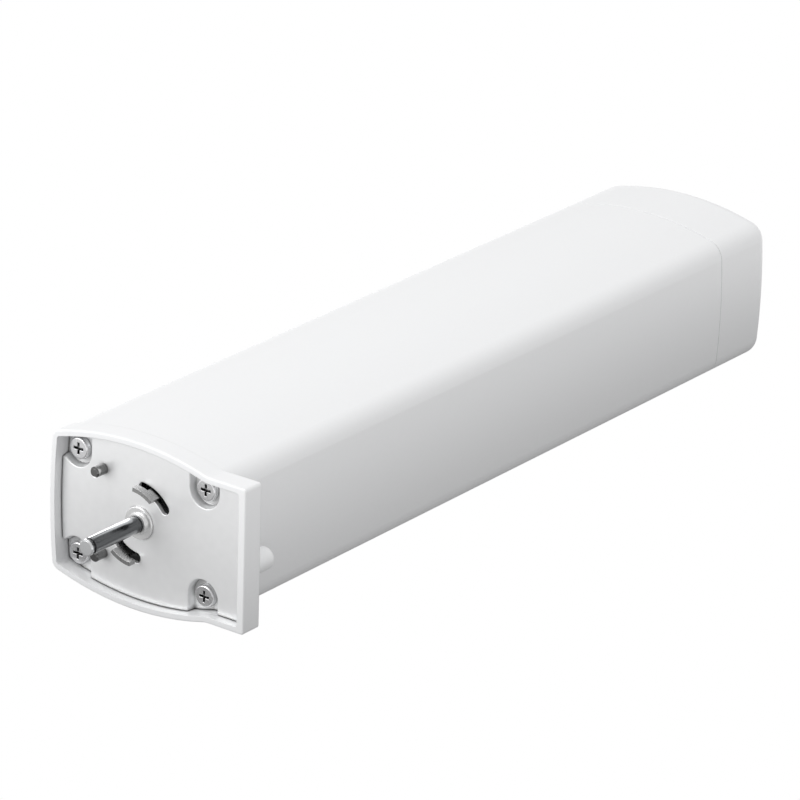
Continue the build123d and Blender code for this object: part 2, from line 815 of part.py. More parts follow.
# Output carrier, pressed on the shaft, with its three pins
with BuildPart() as output_carrier:
    bar(carrier_radius, output_carrier_y, shaft_back_y)
    bar(shaft_radius, output_carrier_y, shaft_back_y, mode=Mode.SUBTRACT)
    bar(planet_pin_radius, output_carrier_y, shaft_back_y, planet_places, Mode.SUBTRACT)
save(output_carrier, "output_carrier")

with BuildPart() as output_pins:
    bar(planet_pin_radius, output_carrier_y, output_planet_y + face_width + stage_gap / 2, planet_places)
save(output_pins, "output_pins")

# Planet gears of the output stage
with BuildPart() as output_planet:
    toothed_bar(planet_outline, output_planet_y, output_planet_y + face_width, planet_places[0])
    bar(planet_pin_radius + planet_gap, output_planet_y, output_planet_y + face_width,
        planet_places[:1], Mode.SUBTRACT)
save_planets(output_planet, "output_planet")

# First carrier: a disc with three pins behind it and the output stage's sun gear on its front
first_carrier_back_y = first_carrier_y + carrier_thickness
with BuildPart() as first_carrier:
    bar(carrier_radius, first_carrier_y, first_carrier_back_y)
    toothed_bar(sun_outline, output_planet_y, first_carrier_y)
    bar(planet_pin_radius, first_carrier_y, first_carrier_back_y, planet_places, Mode.SUBTRACT)
save(first_carrier, "first_carrier")

with BuildPart() as first_pins:
    bar(planet_pin_radius, first_carrier_y, first_planet_y + first_face_width + stage_gap / 2, planet_places)
save(first_pins, "first_pins")

# Planet gears of the first stage
with BuildPart() as first_planet:
    toothed_bar(planet_outline, first_planet_y, first_planet_y + first_face_width, planet_places[0])
    bar(planet_pin_radius + planet_gap, first_planet_y, first_planet_y + first_face_width,
        planet_places[:1], Mode.SUBTRACT)
save_planets(first_planet, "first_planet")

# Adaptor plate between gearbox and motor: case screws from behind, motor screws from the gear side
with BuildPart() as adaptor_plate:
    bar(case_radius, case_back_y, can_y)
    bar(pinion_window_radius, case_back_y, can_y, mode=Mode.SUBTRACT)
    countersink(motor_screw_radius, motor_screw_head_radius, case_back_y, can_y, motor_screw_places)
    countersink(case_screw_radius, case_screw_head_radius, can_y, case_back_y, case_screw_places)
save(adaptor_plate, "adaptor_plate")

with BuildPart() as case_screws:
    flat_head_screw(case_screw_radius, case_screw_head_radius, can_y, case_back_y - case_screw_bite_depth,
                    case_screw_places)
save(case_screws, "case_screws")

with BuildPart() as motor_screws:
    flat_head_screw(motor_screw_radius, motor_screw_head_radius, case_back_y, can_y + 2 * can_wall,
                    motor_screw_places)
save(motor_screws, "motor_screws")

# Motor can: drawn steel with a hub for the front bearing
bore_radius = can_radius - can_wall
front_bearing_y = can_y + can_hub_length - motor_bearing_width
rear_bearing_y = shield_y
with BuildPart() as motor_can:
    bar(can_radius, can_y, can_back_y)
    bar(bore_radius, can_y + can_wall, can_back_y, mode=Mode.SUBTRACT)
    bar(can_hub_radius, can_y, can_y + can_hub_length)
    bar(motor_bearing_radius, front_bearing_y, can_y + can_hub_length, mode=Mode.SUBTRACT)
    bar(rotor_radius + shaft_window_gap, can_y, can_y + can_hub_length, mode=Mode.SUBTRACT)
    bar(motor_screw_radius, can_y, can_y + can_wall, motor_screw_places, Mode.SUBTRACT)
save(motor_can, "motor_can")

# Motor rear shield: it closes the can and holds the brushes, the rear bearing and two board posts
holder_reach = commutator_radius + brush_holder_gap
holder_length = commutator_radius + brush_gap + brush_length + brush_wall - holder_reach
brush_front_y = brush_y - brush_width / 2
brush_back_y = brush_y + brush_width / 2
with BuildPart() as rear_shield:
    bar(bore_radius, shield_y, can_back_y)
    bar(motor_bearing_radius, shield_y, shield_y + motor_bearing_width, mode=Mode.SUBTRACT)
    bar(rotor_radius + shaft_window_gap, shield_y, can_back_y, mode=Mode.SUBTRACT)
    for side in (-1, 1):
        place = (side * (holder_reach + holder_length / 2), 0)
        block(holder_length, brush_width + 2 * brush_wall, brush_front_y - brush_wall, shield_y, place)
        channel = (side * (holder_reach + (holder_length - brush_wall) / 2), 0)
        block(holder_length - brush_wall, brush_width + 2 * seat_gap, brush_front_y - seat_gap,
              brush_back_y + seat_gap, channel, Mode.SUBTRACT)
    bar(sensor_post_radius, can_back_y, sensor_y, [(-sensor_post_x, 0), (sensor_post_x, 0)])
save(rear_shield, "rear_shield")

# Two sintered motor bearings
with BuildPart() as motor_bearings:
    for start in (front_bearing_y, rear_bearing_y):
        bar(motor_bearing_radius, start, start + motor_bearing_width)
        bar(rotor_radius + running_gap, start, start + motor_bearing_width, mode=Mode.SUBTRACT)
save(motor_bearings, "motor_bearings")

# Two curved magnets, bonded inside the can
with BuildPart() as magnets:
    for middle in half_turns:
        first, last = middle - magnet_angle / 2, middle + magnet_angle / 2
        curved_bar(armature_radius + air_gap, bore_radius, first, last,
                   armature_y - magnet_overlap, armature_back_y + magnet_overlap)
save(magnets, "magnets")

# Rotor: shaft, pinion, core, windings, commutator and the encoder's magnet
rotor_back_y = encoder_y + encoder_thickness - rotor_tail
with BuildPart() as rotor_shaft:
    bar(rotor_radius, first_planet_y, rotor_back_y)
save(rotor_shaft, "rotor_shaft")

with BuildPart() as motor_pinion:
    toothed_bar(sun_outline, first_planet_y, first_planet_y + first_face_width + stage_gap)
    bar(rotor_radius, first_planet_y, first_planet_y + first_face_width + stage_gap, mode=Mode.SUBTRACT)
save(motor_pinion, "motor_pinion")

slot_depth = armature_radius - armature_slot_floor
with BuildPart() as armature_core:
    with BuildSketch(station(armature_y)):
        Circle(armature_radius)
        with PolarLocations(armature_slot_floor + slot_depth / 2, armature_slots):
            Rectangle(slot_depth + edge_round, armature_slot_width, mode=Mode.SUBTRACT)
        Circle(rotor_radius, mode=Mode.SUBTRACT)
    extrude(amount=-armature_length)
save(armature_core, "armature_core")

coil_depth = winding_radius - armature_slot_floor - edge_round
with BuildPart() as armature_windings:
    for start in (armature_y - winding_overhang, armature_back_y):
        bar(winding_radius, start, start + winding_overhang)
        bar(winding_bore, start, start + winding_overhang, mode=Mode.SUBTRACT)
    rims = armature_windings.edges().filter_by(GeomType.CIRCLE).group_by(lambda e: e.radius)[-1]
    fillet(rims, radius=winding_overhang / 3)
    with BuildSketch(station(armature_y - winding_overhang / 2)):
        with PolarLocations(armature_slot_floor + edge_round + coil_depth / 2, armature_slots):
            Rectangle(coil_depth, armature_slot_width - 2 * winding_gap)
    extrude(amount=-armature_length - winding_overhang)
save(armature_windings, "armature_windings")

with BuildPart() as commutator:
    with BuildSketch(station(commutator_y)):
        Circle(commutator_radius)
        with PolarLocations(commutator_radius, armature_slots):
            Rectangle(2 * commutator_cut, commutator_cut, mode=Mode.SUBTRACT)
        Circle(rotor_radius, mode=Mode.SUBTRACT)
    extrude(amount=-commutator_length)
save(commutator, "commutator")

with BuildPart() as encoder_magnet:
    bar(encoder_radius, encoder_y, encoder_y + encoder_thickness)
    bar(rotor_radius, encoder_y, encoder_y + encoder_thickness, mode=Mode.SUBTRACT)
save(encoder_magnet, "encoder_magnet")

# Two carbon brushes, hollowed to the commutator
with BuildPart() as brushes:
    for side in (-1, 1):
        block(commutator_radius + brush_length, brush_width, brush_front_y, brush_back_y,
              (side * (commutator_radius + brush_gap + brush_length) / 2, 0))
    bar(commutator_radius + brush_gap, brush_front_y, brush_back_y, mode=Mode.SUBTRACT)
save(brushes, "brushes")

# Rubber ring that carries the motor's rear end in the housing's cradle
with BuildPart() as rear_pad:
    bar(cradle_bore, cradle_y, cradle_y + cradle_thickness)
    bar(cradle_bore + pad_lip, cradle_y + cradle_thickness, cradle_y + cradle_thickness + pad_lip_width)
    bar(can_radius, cradle_y, cradle_y + cradle_thickness + pad_lip_width, mode=Mode.SUBTRACT)
save(rear_pad, "rear_pad")

# Round sensor board behind the encoder's magnet
sensor_plug_y = sensor_y + board_thickness + sensor_plug_depth
with BuildPart() as sensor_board:
    bar(sensor_board_radius, sensor_y, sensor_y + board_thickness)
    block(sensor_chip_width, sensor_chip_height, sensor_y - sensor_chip_depth, sensor_y)
    block(sensor_plug_width, sensor_plug_height, sensor_y + board_thickness, sensor_plug_y,
          (0, sensor_plug_level))
save(sensor_board, "sensor_board")


def stand(width, length, height, place, turn=0):
    """A box that stands on the main board, its middle at place."""
    with BuildSketch(Plane.XY.offset(board_top)) as outline:
        with Locations(place):
            Rectangle(width, length, rotation=turn)
    extrude(outline.sketch, amount=height)


def cable(points, radius):
    """A round wire along a smooth path that leaves and arrives square to the faces across the barrel."""
    heading = (0, 1 if points[-1][1] > points[0][1] else -1, 0)
    with BuildLine() as route:
        Spline(*points, tangents=(heading, heading))
    with BuildSketch(Plane(origin=route.line @ 0, z_dir=route.line % 0)) as wire:
        Circle(radius)
    sweep(wire.sketch, path=route.line)


# Main board, resting on the housing's ledges
board_length = board_end_y - board_start
board_middle_y = board_start + board_length / 2
with BuildPart() as main_board:
    with BuildSketch(Plane.XY.offset(board_level)):
        with Locations((0, board_middle_y)):
            Rectangle(2 * board_half_width, board_length)
        with Locations(*board_screw_places):
            Circle(board_screw_radius + screw_gap, mode=Mode.SUBTRACT)
    extrude(amount=board_thickness)
save(main_board, "main_board")

with BuildPart() as board_screws:
    with BuildSketch(Plane.XY.offset(board_top)):
        with Locations(*board_screw_places):
            Circle(board_screw_head_radius)
    extrude(amount=board_screw_head_height)
    fillet(board_screws.faces().group_by(Axis.Z)[-1].edges(), radius=edge_round)
    with BuildSketch(Plane.XY.offset(board_top)):
        with Locations(*board_screw_places):
            Circle(board_screw_radius)
    extrude(amount=-board_screw_length)
    with BuildSketch(Plane.XY.offset(board_top + board_screw_head_height)):
        with Locations(*board_screw_places):
            cross(board_screw_slot_length, board_screw_slot_width)
    extrude(amount=-board_screw_head_height / 2, mode=Mode.SUBTRACT)
save(board_screws, "board_screws")

# Mains transformer: laminated core with a bobbin through its window
with BuildPart() as transformer:
    stand(core_width, core_length, core_height, (transformer_x, transformer_y))
    chamfer(transformer.edges().filter_by(Axis.Z), length=edge_round)
    stand(core_width - 2 * core_limb, core_length + 2 * coil_bulge, core_height - core_limb,
          (transformer_x, transformer_y))
    fillet(transformer.faces().sort_by(Axis.Y)[0].edges() + transformer.faces().sort_by(Axis.Y)[-1].edges(),
           radius=coil_bulge / 2)
save(transformer, "transformer")

# Smoothing capacitor standing on the board
with BuildPart() as bulk_capacitor:
    with BuildSketch(Plane.XY.offset(board_top)):
        with Locations((capacitor_x, transformer_y)):
            Circle(capacitor_radius)
    extrude(amount=capacitor_height)
    chamfer(bulk_capacitor.faces().sort_by(Axis.Z)[-1].edges(), length=edge_round)
save(bulk_capacitor, "bulk_capacitor")

# Finned heat sink with two power chips against its face
with BuildPart() as heat_sink:
    stand(sink_width, sink_base, sink_height, (sink_x, sink_y))
    with BuildSketch(Plane.XY.offset(board_top)):
        with Locations((sink_x, sink_y + (sink_base + sink_fin) / 2)):
            with GridLocations(sink_width / fin_count, 1, fin_count, 1):
                Rectangle(sink_base, sink_fin)
    extrude(amount=sink_height)
save(heat_sink, "heat_sink")

with BuildPart() as power_chips:
    for side in (-1, 1):
        chip_place = (sink_x + side * sink_width / 4, sink_y - (sink_base + chip_depth) / 2)
        stand(chip_width, chip_depth, chip_height, chip_place)
save(power_chips, "power_chips")

# Radio module: a small board with a shielded can
with BuildPart() as radio_module:
    stand(radio_width, radio_length, sheet_board, (radio_x, radio_y))
    with BuildSketch(Plane.XY.offset(board_top + sheet_board)):
        with Locations((radio_x, radio_y - radio_aerial / 2)):
            Rectangle(radio_width - 2 * radio_can_inset, radio_length - radio_aerial - 2 * radio_can_inset)
    extrude(amount=radio_can_height)
    fillet(radio_module.faces().sort_by(Axis.Z)[-1].edges(), radius=edge_round / 2)
save(radio_module, "radio_module")

# Terminal block for the mains wires, at the board's rear end
terminal_y = board_end_y - terminal_length / 2 - ledge_overrun
with BuildPart() as terminal_block:
    stand(terminal_width, terminal_length, terminal_height, (0, terminal_y))
    chamfer(terminal_block.faces().sort_by(Axis.Z)[-1].edges().filter_by(Axis.X), length=terminal_bevel)
    with BuildSketch(Plane.XY.offset(board_top + terminal_height)):
        with Locations((0, terminal_y)):
            with GridLocations(lead_pitch, 1, 2, 1):
                Circle(terminal_hole_radius)
    extrude(amount=-terminal_height / 2, mode=Mode.SUBTRACT)
save(terminal_block, "terminal_block")

# Plug for the motor's and sensor's wires, at the board's front end
plug_y = board_start + plug_length / 2 + ledge_overrun
with BuildPart() as motor_plug:
    stand(plug_width, plug_length, plug_height, (0, plug_y))
    chamfer(motor_plug.faces().sort_by(Axis.Z)[-1].edges(), length=edge_round)
save(motor_plug, "motor_plug")

# End cap: closed shell with a spigot, screw posts, and openings for inlet, button and light
with BuildPart() as end_cap:
    with BuildSketch(station(seam_y)):
        add(section(barrel_step, barrel_corner))
    extrude(amount=-cap_length)
    fillet(end_cap.faces().sort_by(Axis.Y)[-1].edges(), radius=cap_round)
    chamfer(end_cap.faces().sort_by(Axis.Y)[0].outer_wire().edges(), length=seam_bevel)
    with BuildSketch(station(seam_y)):
        add(section(casing_wall, barrel_corner))
    extrude(amount=seam_y - wall_y, mode=Mode.SUBTRACT)
    with BuildSketch(station(cap_post_y)):
        add(section(casing_wall + spigot_gap, barrel_corner))
        add(section(casing_wall + spigot_gap + spigot_wall, barrel_corner), mode=Mode.SUBTRACT)
    extrude(amount=-spigot_length)
    with BuildSketch(station(seam_y)):
        add(section(casing_wall / 2, barrel_corner))
        add(section(casing_wall + spigot_gap + spigot_wall, barrel_corner), mode=Mode.SUBTRACT)
    extrude(amount=-spigot_root)
    bar(cap_post_radius, cap_post_y, wall_y, cap_screw_places)
    bar(cap_screw_head_radius + fit_gap, cap_post_y + cap_screw_seat_depth, end_y, cap_screw_places,
        Mode.SUBTRACT)
    bar(cap_screw_radius + screw_gap, cap_post_y, end_y, cap_screw_places, Mode.SUBTRACT)
    block(inlet_width + 2 * fit_gap, inlet_height + 2 * fit_gap, wall_y, end_y, (0, inlet_level),
          Mode.SUBTRACT)
    bar(button_radius + button_gap, wall_y, end_y, [(0, button_level)], Mode.SUBTRACT)
    bar(light_radius + fit_gap, wall_y, end_y, [(0, light_level)], Mode.SUBTRACT)
    bar(button_post_radius, button_board_y, wall_y, button_post_places)
    bar(button_stake_radius, button_board_y - board_thickness, button_board_y, button_post_places)
    bar(button_stake_head_radius, button_board_y - board_thickness - button_stake_height,
        button_board_y - board_thickness, button_post_places)
save(end_cap, "end_cap")

# Two long screws that pull the cap onto the housing
with BuildPart() as cap_screws:
    seat_y = cap_post_y + cap_screw_seat_depth
    bar(cap_screw_head_radius, seat_y, seat_y + cap_screw_head_height, cap_screw_places)
    fillet(cap_screws.faces().group_by(Axis.Y)[-1].edges(), radius=edge_round)
    bar(cap_screw_radius, screw_tip_y, seat_y, cap_screw_places)
    with BuildSketch(station(seat_y + cap_screw_head_height)):
        with Locations(*cap_screw_places):
            cross(cap_screw_slot_length, cap_screw_slot_width)
    extrude(amount=cap_screw_head_height / 2, mode=Mode.SUBTRACT)
save(cap_screws, "cap_screws")

# Power inlet: two-pin socket for a figure-of-eight plug, held by ears behind the cap's wall
inlet_face_y = end_y - inlet_recess
with BuildPart() as power_inlet:
    block(inlet_width, inlet_height, inlet_face_y - inlet_depth, inlet_face_y, (0, inlet_level))
    fillet(power_inlet.edges().filter_by(Axis.Y), radius=edge_round)
    block(inlet_width + 2 * inlet_ear, inlet_height + inlet_ear, wall_y - inlet_ear_thickness, wall_y,
          (0, inlet_level))
    with BuildSketch(station(inlet_face_y)):
        with Locations((0, inlet_level)):
            Rectangle(socket_pitch, socket_height - 2 * socket_waist)
            with GridLocations(socket_pitch, 1, 2, 1):
                Circle(socket_height / 2)
    extrude(amount=socket_depth, mode=Mode.SUBTRACT)
    bar(inlet_pin_radius, inlet_face_y - inlet_depth, inlet_face_y, inlet_pin_places, Mode.SUBTRACT)
save(power_inlet, "power_inlet")

with BuildPart() as inlet_pins:
    tail_y = inlet_face_y - inlet_depth - inlet_tail
    bar(inlet_pin_radius, tail_y, inlet_face_y - inlet_pin_inset, inlet_pin_places)
    fillet(inlet_pins.faces().group_by(Axis.Y)[-1].edges(), radius=inlet_pin_radius / 2)
save(inlet_pins, "inlet_pins")

# Button board, staked on two posts of the cap
with BuildPart() as button_board:
    block(button_board_width, button_board_height, button_board_y - board_thickness, button_board_y,
          (0, button_board_level))
    fillet(button_board.edges().filter_by(Axis.Y), radius=button_board_corner)
    bar(button_stake_radius, button_board_y - board_thickness, button_board_y, button_post_places,
        Mode.SUBTRACT)
save(button_board, "button_board")

# Tact switch and the plunger that the button pushes into it
plunger_y = button_board_y + switch_height
switch_top_y = plunger_y - plunger_height
with BuildPart() as tact_switch:
    block(switch_size, switch_size, button_board_y, switch_top_y, (0, button_level))
    chamfer(tact_switch.edges().filter_by(Axis.Y), length=edge_round)
    bar(plunger_radius + plunger_gap, plunger_y - plunger_length - button_travel - switch_gap, switch_top_y,
        [(0, button_level)], Mode.SUBTRACT)
save(tact_switch, "tact_switch")

with BuildPart() as switch_plunger:
    bar(plunger_radius, plunger_y - plunger_length, plunger_y, [(0, button_level)])
save(switch_plunger, "switch_plunger")

# Set button: domed cap, collar behind the wall, stem down to the switch
collar_y = wall_y - button_collar_thickness
with BuildPart() as set_button:
    bar(button_radius, collar_y, end_y + button_stand, [(0, button_level)])
    fillet(set_button.faces().sort_by(Axis.Y)[-1].edges(), radius=edge_round)
    bar(button_collar_radius, collar_y, wall_y - seat_gap, [(0, button_level)])
    bar(button_stem_radius, plunger_y + seat_gap, collar_y, [(0, button_level)])
save(set_button, "set_button")

# Return spring between the button board and the button's collar
spring_length = collar_y - button_board_y - spring_wire
with BuildPart() as button_spring:
    with BuildLine() as coil:
        Helix(pitch=spring_length / spring_turns, height=spring_length, radius=spring_radius,
              center=(0, button_board_y + spring_wire / 2, button_level), direction=(0, 1, 0))
    with BuildSketch(Plane(origin=coil.line @ 0, z_dir=coil.line % 0)):
        Circle(spring_wire / 2 - seat_gap / 2)
    sweep(path=coil.line, is_frenet=True)
save(button_spring, "button_spring")

# Light pipe: a lamp on the button board and a clear rod to the outside
with BuildPart() as light_pipe:
    bar(light_radius, button_board_y, end_y + light_stand, [(0, light_level)])
    fillet(light_pipe.faces().sort_by(Axis.Y)[-1].edges(), radius=light_radius / 3)
    bar(light_radius + light_collar, wall_y - light_collar_thickness, wall_y, [(0, light_level)])
    bar(light_radius + light_collar / 2, button_board_y, button_board_y + light_lamp_height,
        [(0, light_level)])
save(light_pipe, "light_pipe")

# Thick wires: from the motor to its plug, and from the inlet's tails to the terminal block
plug_face_y = plug_y - plug_length / 2
plug_wire_z = board_top + plug_height / 2
terminal_face_y = terminal_y + terminal_length / 2
with BuildPart() as power_leads:
    for side in (-1, 1):
        cable([(side * lead_pitch, can_back_y, motor_lead_inset - can_radius),
               (side * lead_pitch, sensor_y + board_thickness, motor_lead_low),
               (side * lead_pitch, board_start - motor_lead_rise, motor_lead_level),
               (side * lead_pitch, plug_face_y, plug_wire_z)], lead_radius)
        cable([(side * socket_pitch / 2, tail_y, inlet_level),
               (side * mains_lead_x, (tail_y + terminal_face_y) / 2, mains_lead_level),
               (side * lead_pitch / 2, terminal_face_y, board_top + terminal_height / 3)], lead_radius)
save(power_leads, "power_leads")

# Thin wires: from the sensor board to the motor's plug, and from the button board to a header
header_face_y = board_end_y - header_inset
button_lead_y = button_board_y - board_thickness
with BuildPart() as signal_leads:
    stand(header_width, header_length, header_height, (header_x, header_face_y - header_length / 2))
    for across in (-signal_lead_pitch, 0, signal_lead_pitch):
        cable([(across, sensor_plug_y, sensor_plug_level),
               (across, board_start - motor_lead_rise, signal_lead_level),
               (across, plug_face_y, plug_wire_z)], signal_lead_radius)
        cable([(across, button_lead_y, button_board_level - button_lead_drop),
               (header_x / 2 + across, (button_lead_y + header_face_y) / 2, header_lead_level),
               (header_x + across, header_face_y, board_top + header_height / 2)], signal_lead_radius)
save(signal_leads, "signal_leads")
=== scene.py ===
# %% [markdown]
# # A curtain rail motor, dressed for its portrait
#
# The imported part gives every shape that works: casing, plate, shaft, lock and all that the casing holds.
# This script loads it, gives each piece its finish, winds the rotor and the button's spring in wire, and
# sets up a pale studio with a camera where the photographer stood.

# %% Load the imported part
import json
import math
from functools import partial

import bpy
from mathutils import Matrix, Vector


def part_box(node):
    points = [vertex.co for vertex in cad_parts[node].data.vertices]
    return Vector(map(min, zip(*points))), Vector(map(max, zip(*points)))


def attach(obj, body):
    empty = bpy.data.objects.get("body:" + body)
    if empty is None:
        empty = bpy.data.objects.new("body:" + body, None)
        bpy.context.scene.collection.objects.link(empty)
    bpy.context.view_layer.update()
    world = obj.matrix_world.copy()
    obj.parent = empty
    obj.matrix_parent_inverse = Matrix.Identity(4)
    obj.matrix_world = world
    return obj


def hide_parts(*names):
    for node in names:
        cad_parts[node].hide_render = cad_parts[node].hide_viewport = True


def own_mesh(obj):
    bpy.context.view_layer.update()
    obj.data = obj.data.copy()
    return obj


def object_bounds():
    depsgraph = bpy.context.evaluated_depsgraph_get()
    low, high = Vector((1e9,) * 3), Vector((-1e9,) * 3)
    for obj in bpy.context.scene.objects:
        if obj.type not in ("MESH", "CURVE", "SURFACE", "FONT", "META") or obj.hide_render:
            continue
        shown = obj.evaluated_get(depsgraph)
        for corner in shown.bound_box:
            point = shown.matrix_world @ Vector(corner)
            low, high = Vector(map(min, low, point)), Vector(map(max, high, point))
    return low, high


MM = 0.001
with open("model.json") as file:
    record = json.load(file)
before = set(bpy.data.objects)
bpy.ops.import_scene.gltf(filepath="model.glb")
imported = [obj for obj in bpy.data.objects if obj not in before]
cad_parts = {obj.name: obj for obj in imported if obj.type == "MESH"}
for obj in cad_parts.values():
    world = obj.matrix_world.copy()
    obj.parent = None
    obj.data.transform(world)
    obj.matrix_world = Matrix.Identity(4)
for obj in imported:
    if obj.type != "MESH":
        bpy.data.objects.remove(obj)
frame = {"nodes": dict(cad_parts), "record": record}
cad_low, cad_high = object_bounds()
nodes = frame["nodes"]
print("nodes:", len(nodes), "size in mm:", [round(s / MM, 1) for s in cad_high - cad_low])

# %% [markdown]
# ## Finishes
#
# No real surface has one flat colour, so each finish starts from a noise. An image of the surface would
# need a file and unwrapped faces. A noise in Object coordinates needs neither: its grain is in metres, and
# it stays with the piece when the piece moves.

# %% A fresh finish and its grain
GRAIN_DETAIL = 3.0


def fresh_finish(name, metallic=0.0, coat=0.0):
    """A new material with its node tree and its main shader."""
    finish = bpy.data.materials.new(name)
    finish.use_nodes = True
    tree = finish.node_tree
    shader = tree.nodes["Principled BSDF"]
    shader.inputs["Metallic"].default_value = metallic
    shader.inputs["Coat Weight"].default_value = coat
    return finish, tree, shader


def object_noise(tree, grain, stretch):
    """Noise with this grain, in metres, stretched along the part's axes."""
    place = tree.nodes.new("ShaderNodeTexCoord")
    scale = tree.nodes.new("ShaderNodeMapping")
    scale.inputs["Scale"].default_value = stretch
    noise = tree.nodes.new("ShaderNodeTexNoise")
    noise.inputs["Scale"].default_value = 1 / grain
    noise.inputs["Detail"].default_value = GRAIN_DETAIL
    tree.links.new(place.outputs["Object"], scale.inputs["Vector"])
    tree.links.new(scale.outputs["Vector"], noise.inputs["Vector"])
    return noise.outputs["Fac"]


print("levels of detail in the grain:", GRAIN_DETAIL)

# %% [markdown]
# The noise drives the colour and the roughness. One helper maps a value from one range onto another, and one
# mixes two colours by a value. Both take a socket or fixed numbers, so they serve later trees too.

# %% Ranges and mixes


def ranged(tree, source, start=0.0, end=1.0, low=0.0, high=1.0, blend="LINEAR"):
    """Maps a value from the range start to end onto the range low to high."""
    ramp = tree.nodes.new("ShaderNodeMapRange")
    ramp.interpolation_type = blend
    for name, value in (("From Min", start), ("From Max", end), ("To Min", low), ("To Max", high)):
        if isinstance(value, bpy.types.NodeSocket):
            tree.links.new(value, ramp.inputs[name])
        else:
            ramp.inputs[name].default_value = value
    tree.links.new(source, ramp.inputs["Value"])
    return ramp.outputs["Result"]


def mixed_colour(tree, source, first, second):
    """Mixes two colours by a value; each is a socket or three numbers."""
    mix = tree.nodes.new("ShaderNodeMix")
    mix.data_type = "RGBA"
    for name, colour in (("A", first), ("B", second)):
        if isinstance(colour, bpy.types.NodeSocket):
            tree.links.new(colour, mix.inputs[name])
        else:
            mix.inputs[name].default_value = (*colour, 1)
    tree.links.new(source, mix.inputs["Factor"])
    return mix.outputs["Result"]


print("helpers:", ranged.__name__, mixed_colour.__name__)

# %% [markdown]
# Moulded and pressed edges are never sharp, and a soft line of light runs along them. Rounding every small
# edge in the mesh would cost many faces, so the Bevel node rounds them for the light alone. Where walls stand
# close, as in a screw's cross or round the bush, shade is painted into the colour: it darkens by how
# enclosed it is.

# %% Edges, relief and painted corner shade
EDGE_SAMPLES = 8
CORNER_SHADE_SAMPLES = 8
OPEN_SHARE = 0.80
CLOSED_SHARE = 0.25


def soft_relief(tree, shader, height, depth, edge):
    """Bumps the surface by a noise, on top of edges that are rounded by this radius."""
    bump = tree.nodes.new("ShaderNodeBump")
    bump.inputs["Distance"].default_value = depth
    tree.links.new(height, bump.inputs["Height"])
    if edge:
        rounding = tree.nodes.new("ShaderNodeBevel")
        rounding.samples = EDGE_SAMPLES
        rounding.inputs["Radius"].default_value = edge
        tree.links.new(rounding.outputs["Normal"], bump.inputs["Normal"])
    tree.links.new(bump.outputs["Normal"], shader.inputs["Normal"])


def painted_corner_shade(tree, colour, reach, shade):
    """Paints shade into a colour: darkens it to this shade in corners that are closer together than the
    reach.
    """
    corner = tree.nodes.new("ShaderNodeAmbientOcclusion")
    corner.samples = CORNER_SHADE_SAMPLES
    corner.inputs["Distance"].default_value = reach
    unshaded = ranged(tree, corner.outputs["AO"], CLOSED_SHARE, OPEN_SHARE)
    return mixed_colour(tree, unshaded, (shade, shade, shade), colour)


print("clean from an open share of", OPEN_SHARE, "and dark below", CLOSED_SHARE)

# %% [markdown]
# One function puts a finish together from these helpers: two close colours, a grain, a range of roughness
# and a fine relief, then gloss or soft edges where the real surface has them, and painted shade in close
# corners. All its lengths are in mm. What differs between the finishes is kept in tables, so a finish can be
# read at a glance.

# %% One finish
finishes = {}


def made_finish(name, first, second, grain, rough, relief, metallic=0.0, coat=0.0, edge=0.0,
                stretch=(1, 1, 1), shade_reach=0.0, shade=0.02):
    """A finish with two close colours, a range of roughness, a fine relief and painted shade in its corners.
    """
    finish, tree, shader = fresh_finish(name, metallic, coat)
    noise = object_noise(tree, grain * MM, stretch)
    colour = mixed_colour(tree, noise, first, second)
    # Painted shade: close corners darken as if shade fell in them.
    if shade_reach:
        colour = painted_corner_shade(tree, colour, shade_reach * MM, shade)
    tree.links.new(colour, shader.inputs["Base Color"])
    tree.links.new(ranged(tree, noise, low=rough[0], high=rough[1]), shader.inputs["Roughness"])
    soft_relief(tree, shader, noise, relief * MM, edge * MM)
    return finish


def add_finishes(table):
    """Makes each finish of a table and keeps it by its name."""
    for name, looks in table.items():
        finishes[name] = made_finish(name, **looks)
    print("finishes so far:", len(finishes))


# %% [markdown]
# The front shows white plastic with a low gloss, a plate of pressed sheet with a satin skin, and steel of
# different shades. The shaft's body colour is painted dark, as painted shade for the dark bands along it,
# because it mirrors the bright plate behind it; its light bands come from lights of their own.

